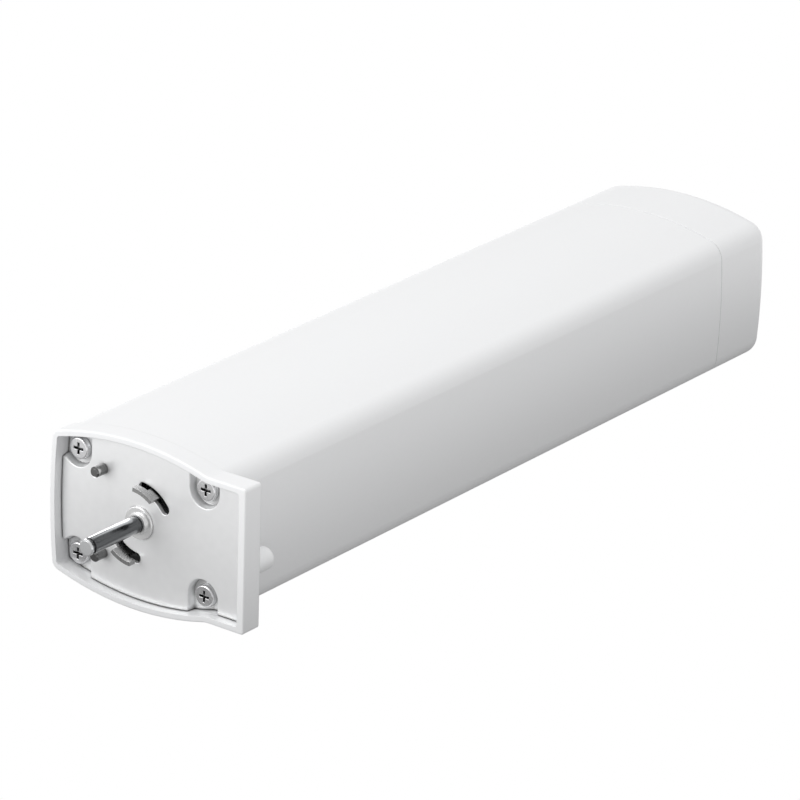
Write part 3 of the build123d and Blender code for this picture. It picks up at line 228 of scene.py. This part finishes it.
# %% Finishes of the front
# In these rows, the reach in mm and the shade paint shade into close corners, such as a screw's cross, the
# plate's pockets and the casing's seam.
add_finishes({
    "white_plastic": dict(first=(0.865, 0.870, 0.878), second=(0.893, 0.898, 0.906), grain=0.9,
                          rough=(0.26, 0.34), relief=0.004, coat=0.25, edge=0.35, shade_reach=1.0, shade=0.38),
    "pressed_steel": dict(first=(0.90, 0.905, 0.91), second=(0.95, 0.955, 0.96), grain=2.5,
                          rough=(0.28, 0.38), relief=0.01, metallic=0.45, edge=0.5, shade_reach=2.0, shade=0.18),
    "screw_steel": dict(first=(0.72, 0.72, 0.73), second=(0.88, 0.88, 0.89), grain=0.6,
                        rough=(0.18, 0.30), relief=0.01, metallic=1.0, edge=0.2, shade_reach=1.0),
    # Painted shade: the shaft's colour is much darker than real ground steel, for the dark bands along it.
    "ground_steel": dict(first=(0.10, 0.104, 0.108), second=(0.15, 0.154, 0.158), grain=0.5,
                         rough=(0.14, 0.22), relief=0.004, metallic=1.0, edge=0.15, stretch=(1, 0.05, 1)),
    "pin_steel": dict(first=(0.10, 0.10, 0.10), second=(0.28, 0.28, 0.28), grain=0.4,
                      rough=(0.16, 0.26), relief=0.01, metallic=1.0, edge=0.12),
    "hook_steel": dict(first=(0.34, 0.34, 0.34), second=(0.46, 0.46, 0.46), grain=0.8,
                       rough=(0.22, 0.34), relief=0.01, metallic=1.0, edge=0.12, shade_reach=1.2),
    "bush_steel": dict(first=(0.90, 0.90, 0.90), second=(0.96, 0.96, 0.96), grain=0.8,
                       rough=(0.20, 0.30), relief=0.006, metallic=0.7, edge=0.2, shade_reach=0.3),
})

# %% [markdown]
# Behind the plate sits the drive: oiled gears in a black case, bronze bearings, and a motor with a bare can,
# a stacked core, ferrite magnets, a copper commutator and carbon brushes. The drive has rubber pads at both
# ends.

# %% Finishes of the drive
add_finishes({
    "gear_steel": dict(first=(0.28, 0.28, 0.28), second=(0.42, 0.42, 0.41), grain=0.7,
                       rough=(0.25, 0.45), relief=0.01, metallic=1.0, edge=0.05),
    "spring_steel": dict(first=(0.45, 0.46, 0.47), second=(0.60, 0.61, 0.62), grain=0.5,
                         rough=(0.20, 0.30), relief=0.004, metallic=1.0),
    "bush_bronze": dict(first=(0.42, 0.26, 0.12), second=(0.55, 0.36, 0.18), grain=0.5,
                        rough=(0.35, 0.50), relief=0.01, metallic=1.0),
    "case_plastic": dict(first=(0.030, 0.032, 0.034), second=(0.050, 0.052, 0.055), grain=0.6,
                         rough=(0.45, 0.60), relief=0.02, edge=0.2),
    "can_steel": dict(first=(0.45, 0.46, 0.48), second=(0.62, 0.63, 0.65), grain=3.0,
                      rough=(0.25, 0.40), relief=0.01, metallic=1.0, edge=0.3),
    "core_steel": dict(first=(0.12, 0.12, 0.12), second=(0.28, 0.28, 0.28), grain=0.5,
                       rough=(0.35, 0.50), relief=0.03, metallic=0.9, stretch=(0.05, 1, 0.05)),
    "ferrite": dict(first=(0.020, 0.020, 0.022), second=(0.045, 0.045, 0.048), grain=0.8,
                    rough=(0.50, 0.70), relief=0.03, edge=0.2),
    "copper": dict(first=(0.50, 0.16, 0.05), second=(0.72, 0.30, 0.12), grain=0.5,
                   rough=(0.22, 0.34), relief=0.02, metallic=0.9),
    "carbon": dict(first=(0.010, 0.010, 0.010), second=(0.035, 0.035, 0.035), grain=0.4,
                   rough=(0.55, 0.75), relief=0.02),
    "rubber": dict(first=(0.012, 0.012, 0.012), second=(0.025, 0.025, 0.025), grain=0.9,
                   rough=(0.60, 0.80), relief=0.02, edge=0.2),
})

# %% [markdown]
# The electrics need the most colours: green boards, black chips, a dark blue sleeve on the capacitor, the
# yellow wrap of the transformer, a green terminal block, red leads, the inlet's bright pins and a clear
# light pipe.

# %% Finishes of the electrics
add_finishes({
    "board_green": dict(first=(0.010, 0.060, 0.025), second=(0.020, 0.100, 0.045), grain=4.0,
                        rough=(0.25, 0.40), relief=0.01, coat=0.3),
    "black_plastic": dict(first=(0.012, 0.012, 0.012), second=(0.030, 0.030, 0.030), grain=0.6,
                          rough=(0.35, 0.50), relief=0.01, edge=0.2),
    "capacitor_sleeve": dict(first=(0.010, 0.015, 0.050), second=(0.020, 0.030, 0.080), grain=3.0,
                             rough=(0.20, 0.30), relief=0.01, coat=0.4, edge=0.4),
    "heat_sink_metal": dict(first=(0.60, 0.61, 0.62), second=(0.74, 0.75, 0.76), grain=0.8,
                            rough=(0.30, 0.42), relief=0.01, metallic=1.0, stretch=(1, 1, 0.05)),
    "connector_plastic": dict(first=(0.72, 0.68, 0.58), second=(0.80, 0.77, 0.68), grain=1.0,
                              rough=(0.40, 0.50), relief=0.01, edge=0.2),
    "terminal_plastic": dict(first=(0.010, 0.110, 0.035), second=(0.020, 0.150, 0.055), grain=1.0,
                             rough=(0.35, 0.50), relief=0.01, edge=0.2),
    "wire_sleeve": dict(first=(0.300, 0.010, 0.008), second=(0.420, 0.020, 0.012), grain=1.0,
                        rough=(0.35, 0.50), relief=0.01),
    "clear_plastic": dict(first=(0.80, 0.84, 0.84), second=(0.88, 0.90, 0.90), grain=1.0,
                          rough=(0.05, 0.12), relief=0.002),
    "contact_metal": dict(first=(0.66, 0.66, 0.64), second=(0.80, 0.80, 0.78), grain=0.5,
                          rough=(0.15, 0.25), relief=0.004, metallic=1.0),
    "lamination_yellow": dict(first=(0.42, 0.30, 0.05), second=(0.55, 0.42, 0.10), grain=0.7,
                              rough=(0.30, 0.45), relief=0.02, stretch=(0.1, 1, 0.1)),
})

# %% [markdown]
# Each node takes the finish that the record names for it. The locating pins are darker in the photo than the
# screws that share their steel, so they get a finish of their own.

# %% Dress the nodes
for part in frame["record"]["subparts"]:
    node = nodes[part["node"]]
    node.data.materials.clear()
    node.data.materials.append(finishes[part["material_slot"]])
nodes["locating_pins"].data.materials[0] = finishes["pin_steel"]

# %% [markdown]
# The shaft's body colour is painted dark, as painted shade, and its end face keeps a light steel colour. A
# second material would need the face picked out by hand, so a ramp along the shaft switches the colour
# instead, in the disc in front of the groove.

# %% Turned end of the shaft
TURNED_FROM = -23.3 * MM
TURNED_FADE = 0.3 * MM
TURNED_COLOUR = (0.82, 0.83, 0.84)

shaft_tree = finishes["ground_steel"].node_tree
shaft_colour = shaft_tree.nodes["Principled BSDF"].inputs["Base Color"]
# This is the body's painted-dark colour, painted shade for the dark bands along the shaft.
painted_dark_body = shaft_colour.links[0].from_socket
shaft_place = shaft_tree.nodes.new("ShaderNodeTexCoord")
along_shaft = shaft_tree.nodes.new("ShaderNodeSeparateXYZ")
shaft_tree.links.new(shaft_place.outputs["Object"], along_shaft.inputs["Vector"])
turned = ranged(shaft_tree, along_shaft.outputs["Y"], TURNED_FROM, TURNED_FROM - TURNED_FADE)
shaft_tree.links.new(mixed_colour(shaft_tree, turned, painted_dark_body, TURNED_COLOUR), shaft_colour)
print("turned from y in mm:", round(TURNED_FROM / MM, 2))

# %% [markdown]
# ## Wire by Geometry Nodes
#
# Two pieces of the real motor are wire: the rotor's windings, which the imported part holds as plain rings
# with ribs, and the return spring of the set button. Wire that repeats by a rule or follows a path suits
# Geometry Nodes, because its sizes stay open to change and no point is placed by hand. The first helpers
# make a step of arithmetic, and a tree with a named input for each size.

# %% Arithmetic and inputs of a tree


def stepped(tree, kind, operation, *values):
    """One step of arithmetic; each value is a socket or fixed numbers."""
    step = tree.nodes.new(kind)
    step.operation = operation
    for socket, value in zip(step.inputs, values):
        if isinstance(value, bpy.types.NodeSocket):
            tree.links.new(value, socket)
        else:
            socket.default_value = value
    return step


def number_step(tree, operation, *values):
    """One step of arithmetic with single numbers."""
    return stepped(tree, "ShaderNodeMath", operation, *values).outputs["Value"]


def tree_with_inputs(name, sizes):
    """A tree for a piece, the sockets of its named sizes, and its output node."""
    tree = bpy.data.node_groups.new(name, "GeometryNodeTree")
    tree.interface.new_socket(name="Geometry", in_out="OUTPUT", socket_type="NodeSocketGeometry")
    for size, value in sizes.items():
        kind = "NodeSocketInt" if isinstance(value, int) else "NodeSocketFloat"
        tree.interface.new_socket(name=size, in_out="INPUT", socket_type=kind).default_value = value
    return tree, tree.nodes.new("NodeGroupInput").outputs, tree.nodes.new("NodeGroupOutput")


print("helpers:", number_step.__name__, tree_with_inputs.__name__)

# %% [markdown]
# A path becomes wire when a small circle is swept along it. The tree then ends in Realize Instances and Set
# Material, because the export drops instances.

# %% From a path to wire


def wire_end(tree, path, wire_radius, sides, finish, output, closed_ends=False):
    """Sweeps a circle along the path, and ends the tree with real faces in this finish."""
    section = tree.nodes.new("GeometryNodeCurvePrimitiveCircle")
    section.inputs["Resolution"].default_value = sides
    tree.links.new(wire_radius, section.inputs["Radius"])
    wire = tree.nodes.new("GeometryNodeCurveToMesh")
    wire.inputs["Fill Caps"].default_value = closed_ends
    tree.links.new(path, wire.inputs["Curve"])
    tree.links.new(section.outputs["Curve"], wire.inputs["Profile Curve"])
    whole = tree.nodes.new("GeometryNodeRealizeInstances")
    tree.links.new(wire.outputs["Mesh"], whole.inputs["Geometry"])
    coated = tree.nodes.new("GeometryNodeSetMaterial")
    coated.inputs["Material"].default_value = finish
    tree.links.new(whole.outputs["Geometry"], coated.inputs["Geometry"])
    tree.links.new(coated.outputs["Geometry"], output.inputs["Geometry"])


print("helper:", wire_end.__name__)

# %% [markdown]
# The tree runs as a modifier on an empty holder. Its inputs are set by their identifiers, which stay the same
# when a name changes. The result is kept as a plain mesh, and the holder with its modifier goes.

# %% From a tree to a piece


def piece_from_tree(name, tree, sizes, finish):
    """Runs the tree with these sizes and keeps its result as a plain mesh."""
    holder = bpy.data.objects.new(name + "_holder", bpy.data.meshes.new(name + "_holder"))
    bpy.context.scene.collection.objects.link(holder)
    modifier = holder.modifiers.new(name, "NODES")
    modifier.node_group = tree
    for socket in tree.interface.items_tree:
        if socket.in_out == "INPUT":
            modifier[socket.identifier] = sizes[socket.name]
    worked_out = holder.evaluated_get(bpy.context.evaluated_depsgraph_get())
    mesh = bpy.data.meshes.new_from_object(worked_out)
    holder.modifiers.remove(modifier)
    bpy.data.objects.remove(holder)
    mesh.materials.clear()
    mesh.materials.append(finish)
    piece = bpy.data.objects.new(name, mesh)
    bpy.context.scene.collection.objects.link(piece)
    print(name, "triangles:", sum(len(face.vertices) - 2 for face in mesh.polygons))
    return piece


print("helper:", piece_from_tree.__name__)

# %% [markdown]
# ## Motor windings
#
# On the real rotor each turn of enamelled wire runs down one slot of the core, crosses its end and comes
# back two slots further. Five coils start one slot apart. In a coil, strands lie side by side in a slot, and
# layers lie one above the other. Placing so many turns by hand would be slow, but all of them are one loop
# that a rule moves to its place.

# %% Sizes of the windings
COILS = 5
LAYERS = 12
STRANDS = 3
SLOT_ANGLE = 2 * math.pi / COILS
COIL_SPAN = 2 * SLOT_ANGLE
END_SPACE = 0.7 * MM
WIRE_RADIUS = 0.14 * MM
WIRE_PITCH = 0.27 * MM
SLOT_MIDDLE_GAP = 0.16 * MM
FIRST_LAYER = 5.5 * MM
LAYER_PITCH = 0.40 * MM
MEAN_RADIUS = 8.0 * MM
END_PITCH = 0.55 * MM
BEND_RADIUS = 1.2 * MM
BEND_POINTS = 3
LOOP_POINTS = 44
WIRE_SIDES = 5

core_low, core_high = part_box("armature_core")
winding_sizes = {
    "Turns": COILS * LAYERS * STRANDS, "Loop width": COIL_SPAN * MEAN_RADIUS,
    "Loop length": core_high.y - core_low.y + END_SPACE, "Mean radius": MEAN_RADIUS,
    "Middle": (core_low.y + core_high.y) / 2, "First layer": FIRST_LAYER, "Layer pitch": LAYER_PITCH,
    "Wire pitch": WIRE_PITCH, "End pitch": END_PITCH, "Wire radius": WIRE_RADIUS,
}
print("turns of wire:", winding_sizes["Turns"],
      "round a core with its middle at mm:", round(winding_sizes["Middle"] / MM, 2))

# %% [markdown]
# One rounded rectangle is the pattern of a turn, still flat: its width goes round the shaft later, and its
# height runs along it. A copy is made for each turn, and each copy keeps its number.

# %% Flat turns
winding_tree, given, winding_output = tree_with_inputs("winding_turns", winding_sizes)
add_step = winding_tree.nodes.new
join = winding_tree.links.new

flat_turn = add_step("GeometryNodeCurvePrimitiveQuadrilateral")
join(given["Loop width"], flat_turn.inputs["Width"])
join(given["Loop length"], flat_turn.inputs["Height"])
rounded_turn = add_step("GeometryNodeFilletCurve")
rounded_turn.mode = "POLY"
rounded_turn.inputs["Count"].default_value = BEND_POINTS
rounded_turn.inputs["Radius"].default_value = BEND_RADIUS
join(flat_turn.outputs["Curve"], rounded_turn.inputs["Curve"])
even_turn = add_step("GeometryNodeResampleCurve")
even_turn.inputs["Count"].default_value = LOOP_POINTS
join(rounded_turn.outputs["Curve"], even_turn.inputs["Curve"])
starts = add_step("GeometryNodeMeshLine")
starts.inputs["Offset"].default_value = (0, 0, 0)
join(given["Turns"], starts.inputs["Count"])
copies = add_step("GeometryNodeInstanceOnPoints")
join(starts.outputs["Mesh"], copies.inputs["Points"])
join(even_turn.outputs["Curve"], copies.inputs["Instance"])
numbered = add_step("GeometryNodeStoreNamedAttribute")
numbered.data_type = "INT"
numbered.domain = "INSTANCE"
numbered.inputs["Name"].default_value = "turn"
join(copies.outputs["Instances"], numbered.inputs["Geometry"])
join(add_step("GeometryNodeInputIndex").outputs["Index"], numbered.inputs["Value"])
all_turns = add_step("GeometryNodeRealizeInstances")
join(numbered.outputs["Geometry"], all_turns.inputs["Geometry"])
print("steps so far:", len(winding_tree.nodes))

# %% [markdown]
# The number of a turn gives its layer, strand and coil. The layer sets the radius. The strand moves both
# sides inwards in their slots. The coil turns the whole loop and lifts its ends over those before it.

# %% Place of each turn
calc = partial(number_step, winding_tree)

turn_number = add_step("GeometryNodeInputNamedAttribute")
turn_number.data_type = "INT"
turn_number.inputs["Name"].default_value = "turn"
turn = turn_number.outputs["Attribute"]
layer = calc("MODULO", turn, LAYERS)
strand = calc("MODULO", calc("FLOOR", calc("DIVIDE", turn, LAYERS)), STRANDS)
coil = calc("FLOOR", calc("DIVIDE", turn, LAYERS * STRANDS))

flat_place = add_step("ShaderNodeSeparateXYZ")
join(add_step("GeometryNodeInputPosition").outputs["Position"], flat_place.inputs["Vector"])
across, along = flat_place.outputs["X"], flat_place.outputs["Y"]

radius = calc("ADD", given["First layer"], calc("MULTIPLY", layer, given["Layer pitch"]))
side_gap = calc("ADD", SLOT_MIDDLE_GAP, calc("MULTIPLY", strand, given["Wire pitch"]))
side_angle = calc("MULTIPLY", calc("SIGN", across), calc("DIVIDE", side_gap, radius))
angle = calc("SUBTRACT", calc("DIVIDE", across, given["Mean radius"]), side_angle)
angle = calc("ADD", angle, calc("MULTIPLY", coil, SLOT_ANGLE))
end_lift = calc("MULTIPLY", calc("SUBTRACT", STRANDS - 1, strand), given["Wire pitch"])
end_lift = calc("ADD", end_lift, calc("MULTIPLY", coil, given["End pitch"]))
end_lift = calc("MULTIPLY", calc("SIGN", along), end_lift)
print("steps so far:", len(winding_tree.nodes))

# %% [markdown]
# Cosine and sine of the angle wrap the flat turns round the shaft, and the sweep turns them into wire. The
# piece rides on the rotor, so it turns with it.

# %% Wrap and wind
wrapped = add_step("ShaderNodeCombineXYZ")
join(calc("MULTIPLY", radius, calc("COSINE", angle)), wrapped.inputs["X"])
join(calc("ADD", given["Middle"], calc("ADD", along, end_lift)), wrapped.inputs["Y"])
join(calc("MULTIPLY", radius, calc("SINE", angle)), wrapped.inputs["Z"])
wrapped_turns = add_step("GeometryNodeSetPosition")
join(all_turns.outputs["Geometry"], wrapped_turns.inputs["Geometry"])
join(wrapped.outputs["Vector"], wrapped_turns.inputs["Position"])
wire_end(winding_tree, wrapped_turns.outputs["Geometry"], given["Wire radius"], WIRE_SIDES,
         finishes["copper"], winding_output)

winding_turns = piece_from_tree("winding_turns", winding_tree, winding_sizes, finishes["copper"])
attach(winding_turns, "rotor")
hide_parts("armature_windings")
print("windings in mm:", [round(v / MM, 1) for v in winding_turns.dimensions])

# %% [markdown]
# ## Return spring of the button
#
# The set button stands on a small coil spring, which gets shorter as the button goes in. Its place and its
# outer size come from the node that it replaces.

# %% Sizes of the spring
SPRING_TURNS = 5.5
SPRING_WIRE = 0.43 * MM
TURN_POINTS = 28
SPRING_SIDES = 8
FLAT_END = 0.04

spring_low, spring_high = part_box("button_spring")
spring_length = spring_high.y - spring_low.y
spring_sizes = {
    "Turns": SPRING_TURNS, "Radius": (spring_high.x - spring_low.x - SPRING_WIRE) / 2,
    "Length": spring_length - SPRING_WIRE, "Wire radius": SPRING_WIRE / 2,
}
print("spring in mm:", round(spring_length / MM, 2), "long, radius", round(spring_sizes["Radius"] / MM, 2))

# %% [markdown]
# A plain helix has one slope from end to end. A real spring has closed ends, where the first and the last
# turn lie almost flat. So a spiral without height gives the turns, and a smooth ramp gives the rise.

# %% Path of the spring
spring_tree, given, spring_output = tree_with_inputs("button_coil", spring_sizes)
add_step = spring_tree.nodes.new
join = spring_tree.links.new

spiral = add_step("GeometryNodeCurveSpiral")
spiral.inputs["Resolution"].default_value = TURN_POINTS
spiral.inputs["Height"].default_value = 0
join(given["Turns"], spiral.inputs["Rotations"])
join(given["Radius"], spiral.inputs["Start Radius"])
join(given["Radius"], spiral.inputs["End Radius"])
share = add_step("GeometryNodeSplineParameter").outputs["Factor"]
rise = ranged(spring_tree, share, FLAT_END, 1 - FLAT_END, 0.0, given["Length"], "SMOOTHSTEP")
flat_place = add_step("ShaderNodeSeparateXYZ")
join(add_step("GeometryNodeInputPosition").outputs["Position"], flat_place.inputs["Vector"])
raised = add_step("ShaderNodeCombineXYZ")
join(flat_place.outputs["X"], raised.inputs["X"])
join(rise, raised.inputs["Y"])
join(flat_place.outputs["Y"], raised.inputs["Z"])
raised_turns = add_step("GeometryNodeSetPosition")
join(spiral.outputs["Curve"], raised_turns.inputs["Geometry"])
join(raised.outputs["Vector"], raised_turns.inputs["Position"])
wire_end(spring_tree, raised_turns.outputs["Geometry"], given["Wire radius"], SPRING_SIDES,
         finishes["spring_steel"], spring_output, closed_ends=True)
print("steps in the tree:", len(spring_tree.nodes))

# %% [markdown]
# The spring is moved to its seat in its mesh, so that the object stays at the origin as a CAD node does.

# %% Seat the spring
button_coil = piece_from_tree("button_coil", spring_tree, spring_sizes, finishes["spring_steel"])
button_coil.data.shade_smooth()
seat = Vector(((spring_low.x + spring_high.x) / 2, spring_low.y + SPRING_WIRE / 2,
               (spring_low.z + spring_high.z) / 2))
button_coil.data.transform(Matrix.Translation(seat))
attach(button_coil, "casing")
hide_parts("button_spring")
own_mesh(button_coil)

# %% [markdown]
# ## Studio
#
# The part lies on a white floor that fades into a white sky, as in the photo. White added behind the part
# afterwards would do for the picture, but the part would catch no light from it. So floor and sky are
# plain white to the camera, and lights to the part.

# %% White to the camera
WHITE = (1, 1, 1, 1)


def white_to_camera(tree, light_kind, light_output, target):
    """Shows plain white to the camera and the given light to everything else."""
    white = tree.nodes.new(light_kind)
    white.inputs["Color"].default_value = WHITE
    path = tree.nodes.new("ShaderNodeLightPath")
    mix = tree.nodes.new("ShaderNodeMixShader")
    tree.links.new(path.outputs["Is Camera Ray"], mix.inputs["Fac"])
    tree.links.new(light_output, mix.inputs[1])
    tree.links.new(white.outputs[0], mix.inputs[2])
    tree.links.new(mix.outputs["Shader"], target)


print("helper:", white_to_camera.__name__)

# %% [markdown]
# The floor glows softly. It is dim close to the part, where the part would shade it, so the sides darken
# towards the floor. How far a point lies outside the part's own footprint sets its glow.

# %% Floor
FLOOR_SIZE = 6.0
FLOOR_GAP = 0.2 * MM
FLOOR_NEAR = 0.32
FLOOR_FAR = 1.06
FLOOR_FADE = 0.16

floor_level = cad_low.z - FLOOR_GAP
middle = (cad_low + cad_high) / 2
half_size = (cad_high - cad_low) / 2
bpy.ops.mesh.primitive_plane_add(size=FLOOR_SIZE, location=(0, 0, floor_level))
floor = bpy.context.object
floor.name = "studio_floor"
floor_finish, floor_tree, _ = fresh_finish("studio_floor")
place_step = partial(stepped, floor_tree, "ShaderNodeVectorMath")
floor_place = floor_tree.nodes.new("ShaderNodeTexCoord")
from_middle = place_step("SUBTRACT", floor_place.outputs["Object"], (middle.x, middle.y, 0))
from_middle = place_step("ABSOLUTE", from_middle.outputs["Vector"])
outside = place_step("SUBTRACT", from_middle.outputs["Vector"], (half_size.x, half_size.y, 0))
outside = place_step("MAXIMUM", outside.outputs["Vector"], (0, 0, 0))
away = place_step("LENGTH", outside.outputs["Vector"]).outputs["Value"]
floor_glow = floor_tree.nodes.new("ShaderNodeEmission")
floor_tree.links.new(ranged(floor_tree, away, 0.0, FLOOR_FADE, FLOOR_NEAR, FLOOR_FAR, "SMOOTHSTEP"),
                     floor_glow.inputs["Strength"])
white_to_camera(floor_tree, "ShaderNodeEmission", floor_glow.outputs["Emission"],
                floor_tree.nodes["Material Output"].inputs["Surface"])
floor.data.materials.append(floor_finish)
print("floor at mm:", round(floor_level / MM, 2))

# %% [markdown]
# The sky gives the same light from all sides, as the walls of a light tent do. The Standard view shows white
# as white, without a film look.

# %% Sky
SKY_LIGHT = 0.64

sky = bpy.data.worlds.new("studio_sky")
sky.use_nodes = True
sky_light = sky.node_tree.nodes["Background"]
sky_light.inputs["Color"].default_value = WHITE
sky_light.inputs["Strength"].default_value = SKY_LIGHT
white_to_camera(sky.node_tree, "ShaderNodeBackground", sky_light.outputs["Background"],
                sky.node_tree.nodes["World Output"].inputs["Surface"])
bpy.context.scene.world = sky
bpy.context.scene.view_settings.view_transform = "Standard"
print("sky:", SKY_LIGHT)

# %% [markdown]
# Seen from the front, a shaft that points at the viewer mirrors only what stands behind it, which here is
# the plate. Its light bands come from three narrow strips just in front of the plate. Neither the camera nor
# matt surfaces see them, so they show as glints alone.

# %% Glints along the shaft
GLINT_LEVEL = -1.9 * MM
TO_THE_FRONT = Matrix.Rotation(math.radians(-90), 4, "X")
glints = (
    # name, angle round the shaft in degrees, start and end from its axis and width in mm, power in watts
    ("glint_bright", 168, 3.0, 26.0, 12.0, 0.004),
    ("glint_faint", -54, 4.0, 24.0, 6.0, 0.0003),
    ("glint_soft", 115, 4.0, 22.0, 8.0, 0.0009),
)


def area_light(name, width, height, power):
    """A rectangular light, not yet placed."""
    lamp = bpy.data.lights.new(name, "AREA")
    lamp.shape = "RECTANGLE"
    lamp.size = width
    lamp.size_y = height
    lamp.energy = power
    holder = bpy.data.objects.new(name, lamp)
    bpy.context.scene.collection.objects.link(holder)
    return holder


for name, degrees, start, end, width, power in glints:
    glint = area_light(name, (end - start) * MM, width * MM, power)
    heading = math.radians(degrees)
    reach = (start + end) / 2 * MM
    glint.location = (reach * math.cos(heading), GLINT_LEVEL, reach * math.sin(heading))
    glint.rotation_euler = (Matrix.Rotation(-heading, 4, "Y") @ TO_THE_FRONT).to_euler()
    glint.visible_camera = False
    glint.visible_diffuse = False
print("glints:", len(glints))

# %% [markdown]
# Two large soft lights give the glow on the top and the rim: one hangs above the part, and the other stands
# in front of it to the left. The larger a light is, the softer its shadows are.

# %% Soft lights
soft_lights = (
    # name, place from the middle of the part, width and height in metres, power in watts
    ("light_above", (-0.15, -0.05, 0.90), 1.0, 0.8, 3.8),
    ("light_front", (-0.55, -1.00, 0.30), 0.7, 0.7, 4.9),
)

for name, place, width, height, power in soft_lights:
    light = area_light(name, width, height, power)
    light.location = middle + Vector(place)
    light.rotation_euler = (-Vector(place)).to_track_quat("-Z", "Y").to_euler()
print("soft lights:", len(soft_lights))

# %% [markdown]
# ## Camera
#
# The camera stands in front and to the right, a little above the part, and leans slightly. A long lens from
# far off keeps the barrel's edges nearly parallel, as in the photo. Its distance and lens come from lining
# up the part's corners with the photo. Three directions that stand square to each other say how it is
# turned, and steps along them from the point that it aims at say where it stands.

# %% Where the camera stands
CAMERA_AZIMUTH = math.radians(36.38)
CAMERA_ELEVATION = math.radians(22.0)
CAMERA_ROLL = math.radians(1.77)
CAMERA_AIM = Vector((0, 0.1095, 0))
CAMERA_DISTANCE = 1.5772
CAMERA_SHIFT_RIGHT = 8.78 * MM
CAMERA_SHIFT_UP = 4.24 * MM

camera_back = Vector((math.sin(CAMERA_AZIMUTH) * math.cos(CAMERA_ELEVATION),
                      -math.cos(CAMERA_AZIMUTH) * math.cos(CAMERA_ELEVATION), math.sin(CAMERA_ELEVATION)))
level_right = Vector((0, 0, 1)).cross(camera_back).normalized()
level_up = camera_back.cross(level_right)
camera_right = math.cos(CAMERA_ROLL) * level_right + math.sin(CAMERA_ROLL) * level_up
camera_up = math.cos(CAMERA_ROLL) * level_up - math.sin(CAMERA_ROLL) * level_right
camera_place = (CAMERA_AIM + CAMERA_DISTANCE * camera_back + CAMERA_SHIFT_RIGHT * camera_right
                + CAMERA_SHIFT_UP * camera_up)
print("camera at:", [round(c, 3) for c in camera_place])

# %% Camera
CAMERA_LENS = 234.4
CAMERA_SENSOR = 36.0
CAMERA_NEAR = 0.05

lens = bpy.data.cameras.new("photo_camera")
lens.lens = CAMERA_LENS
lens.sensor_width = CAMERA_SENSOR
lens.clip_start = CAMERA_NEAR
camera = bpy.data.objects.new("photo_camera", lens)
camera.matrix_world = Matrix((
    (camera_right.x, camera_up.x, camera_back.x, camera_place.x),
    (camera_right.y, camera_up.y, camera_back.y, camera_place.y),
    (camera_right.z, camera_up.z, camera_back.z, camera_place.z),
    (0, 0, 0, 1),
))
bpy.context.scene.collection.objects.link(camera)
bpy.context.scene.camera = camera
print("lens in mm:", CAMERA_LENS)
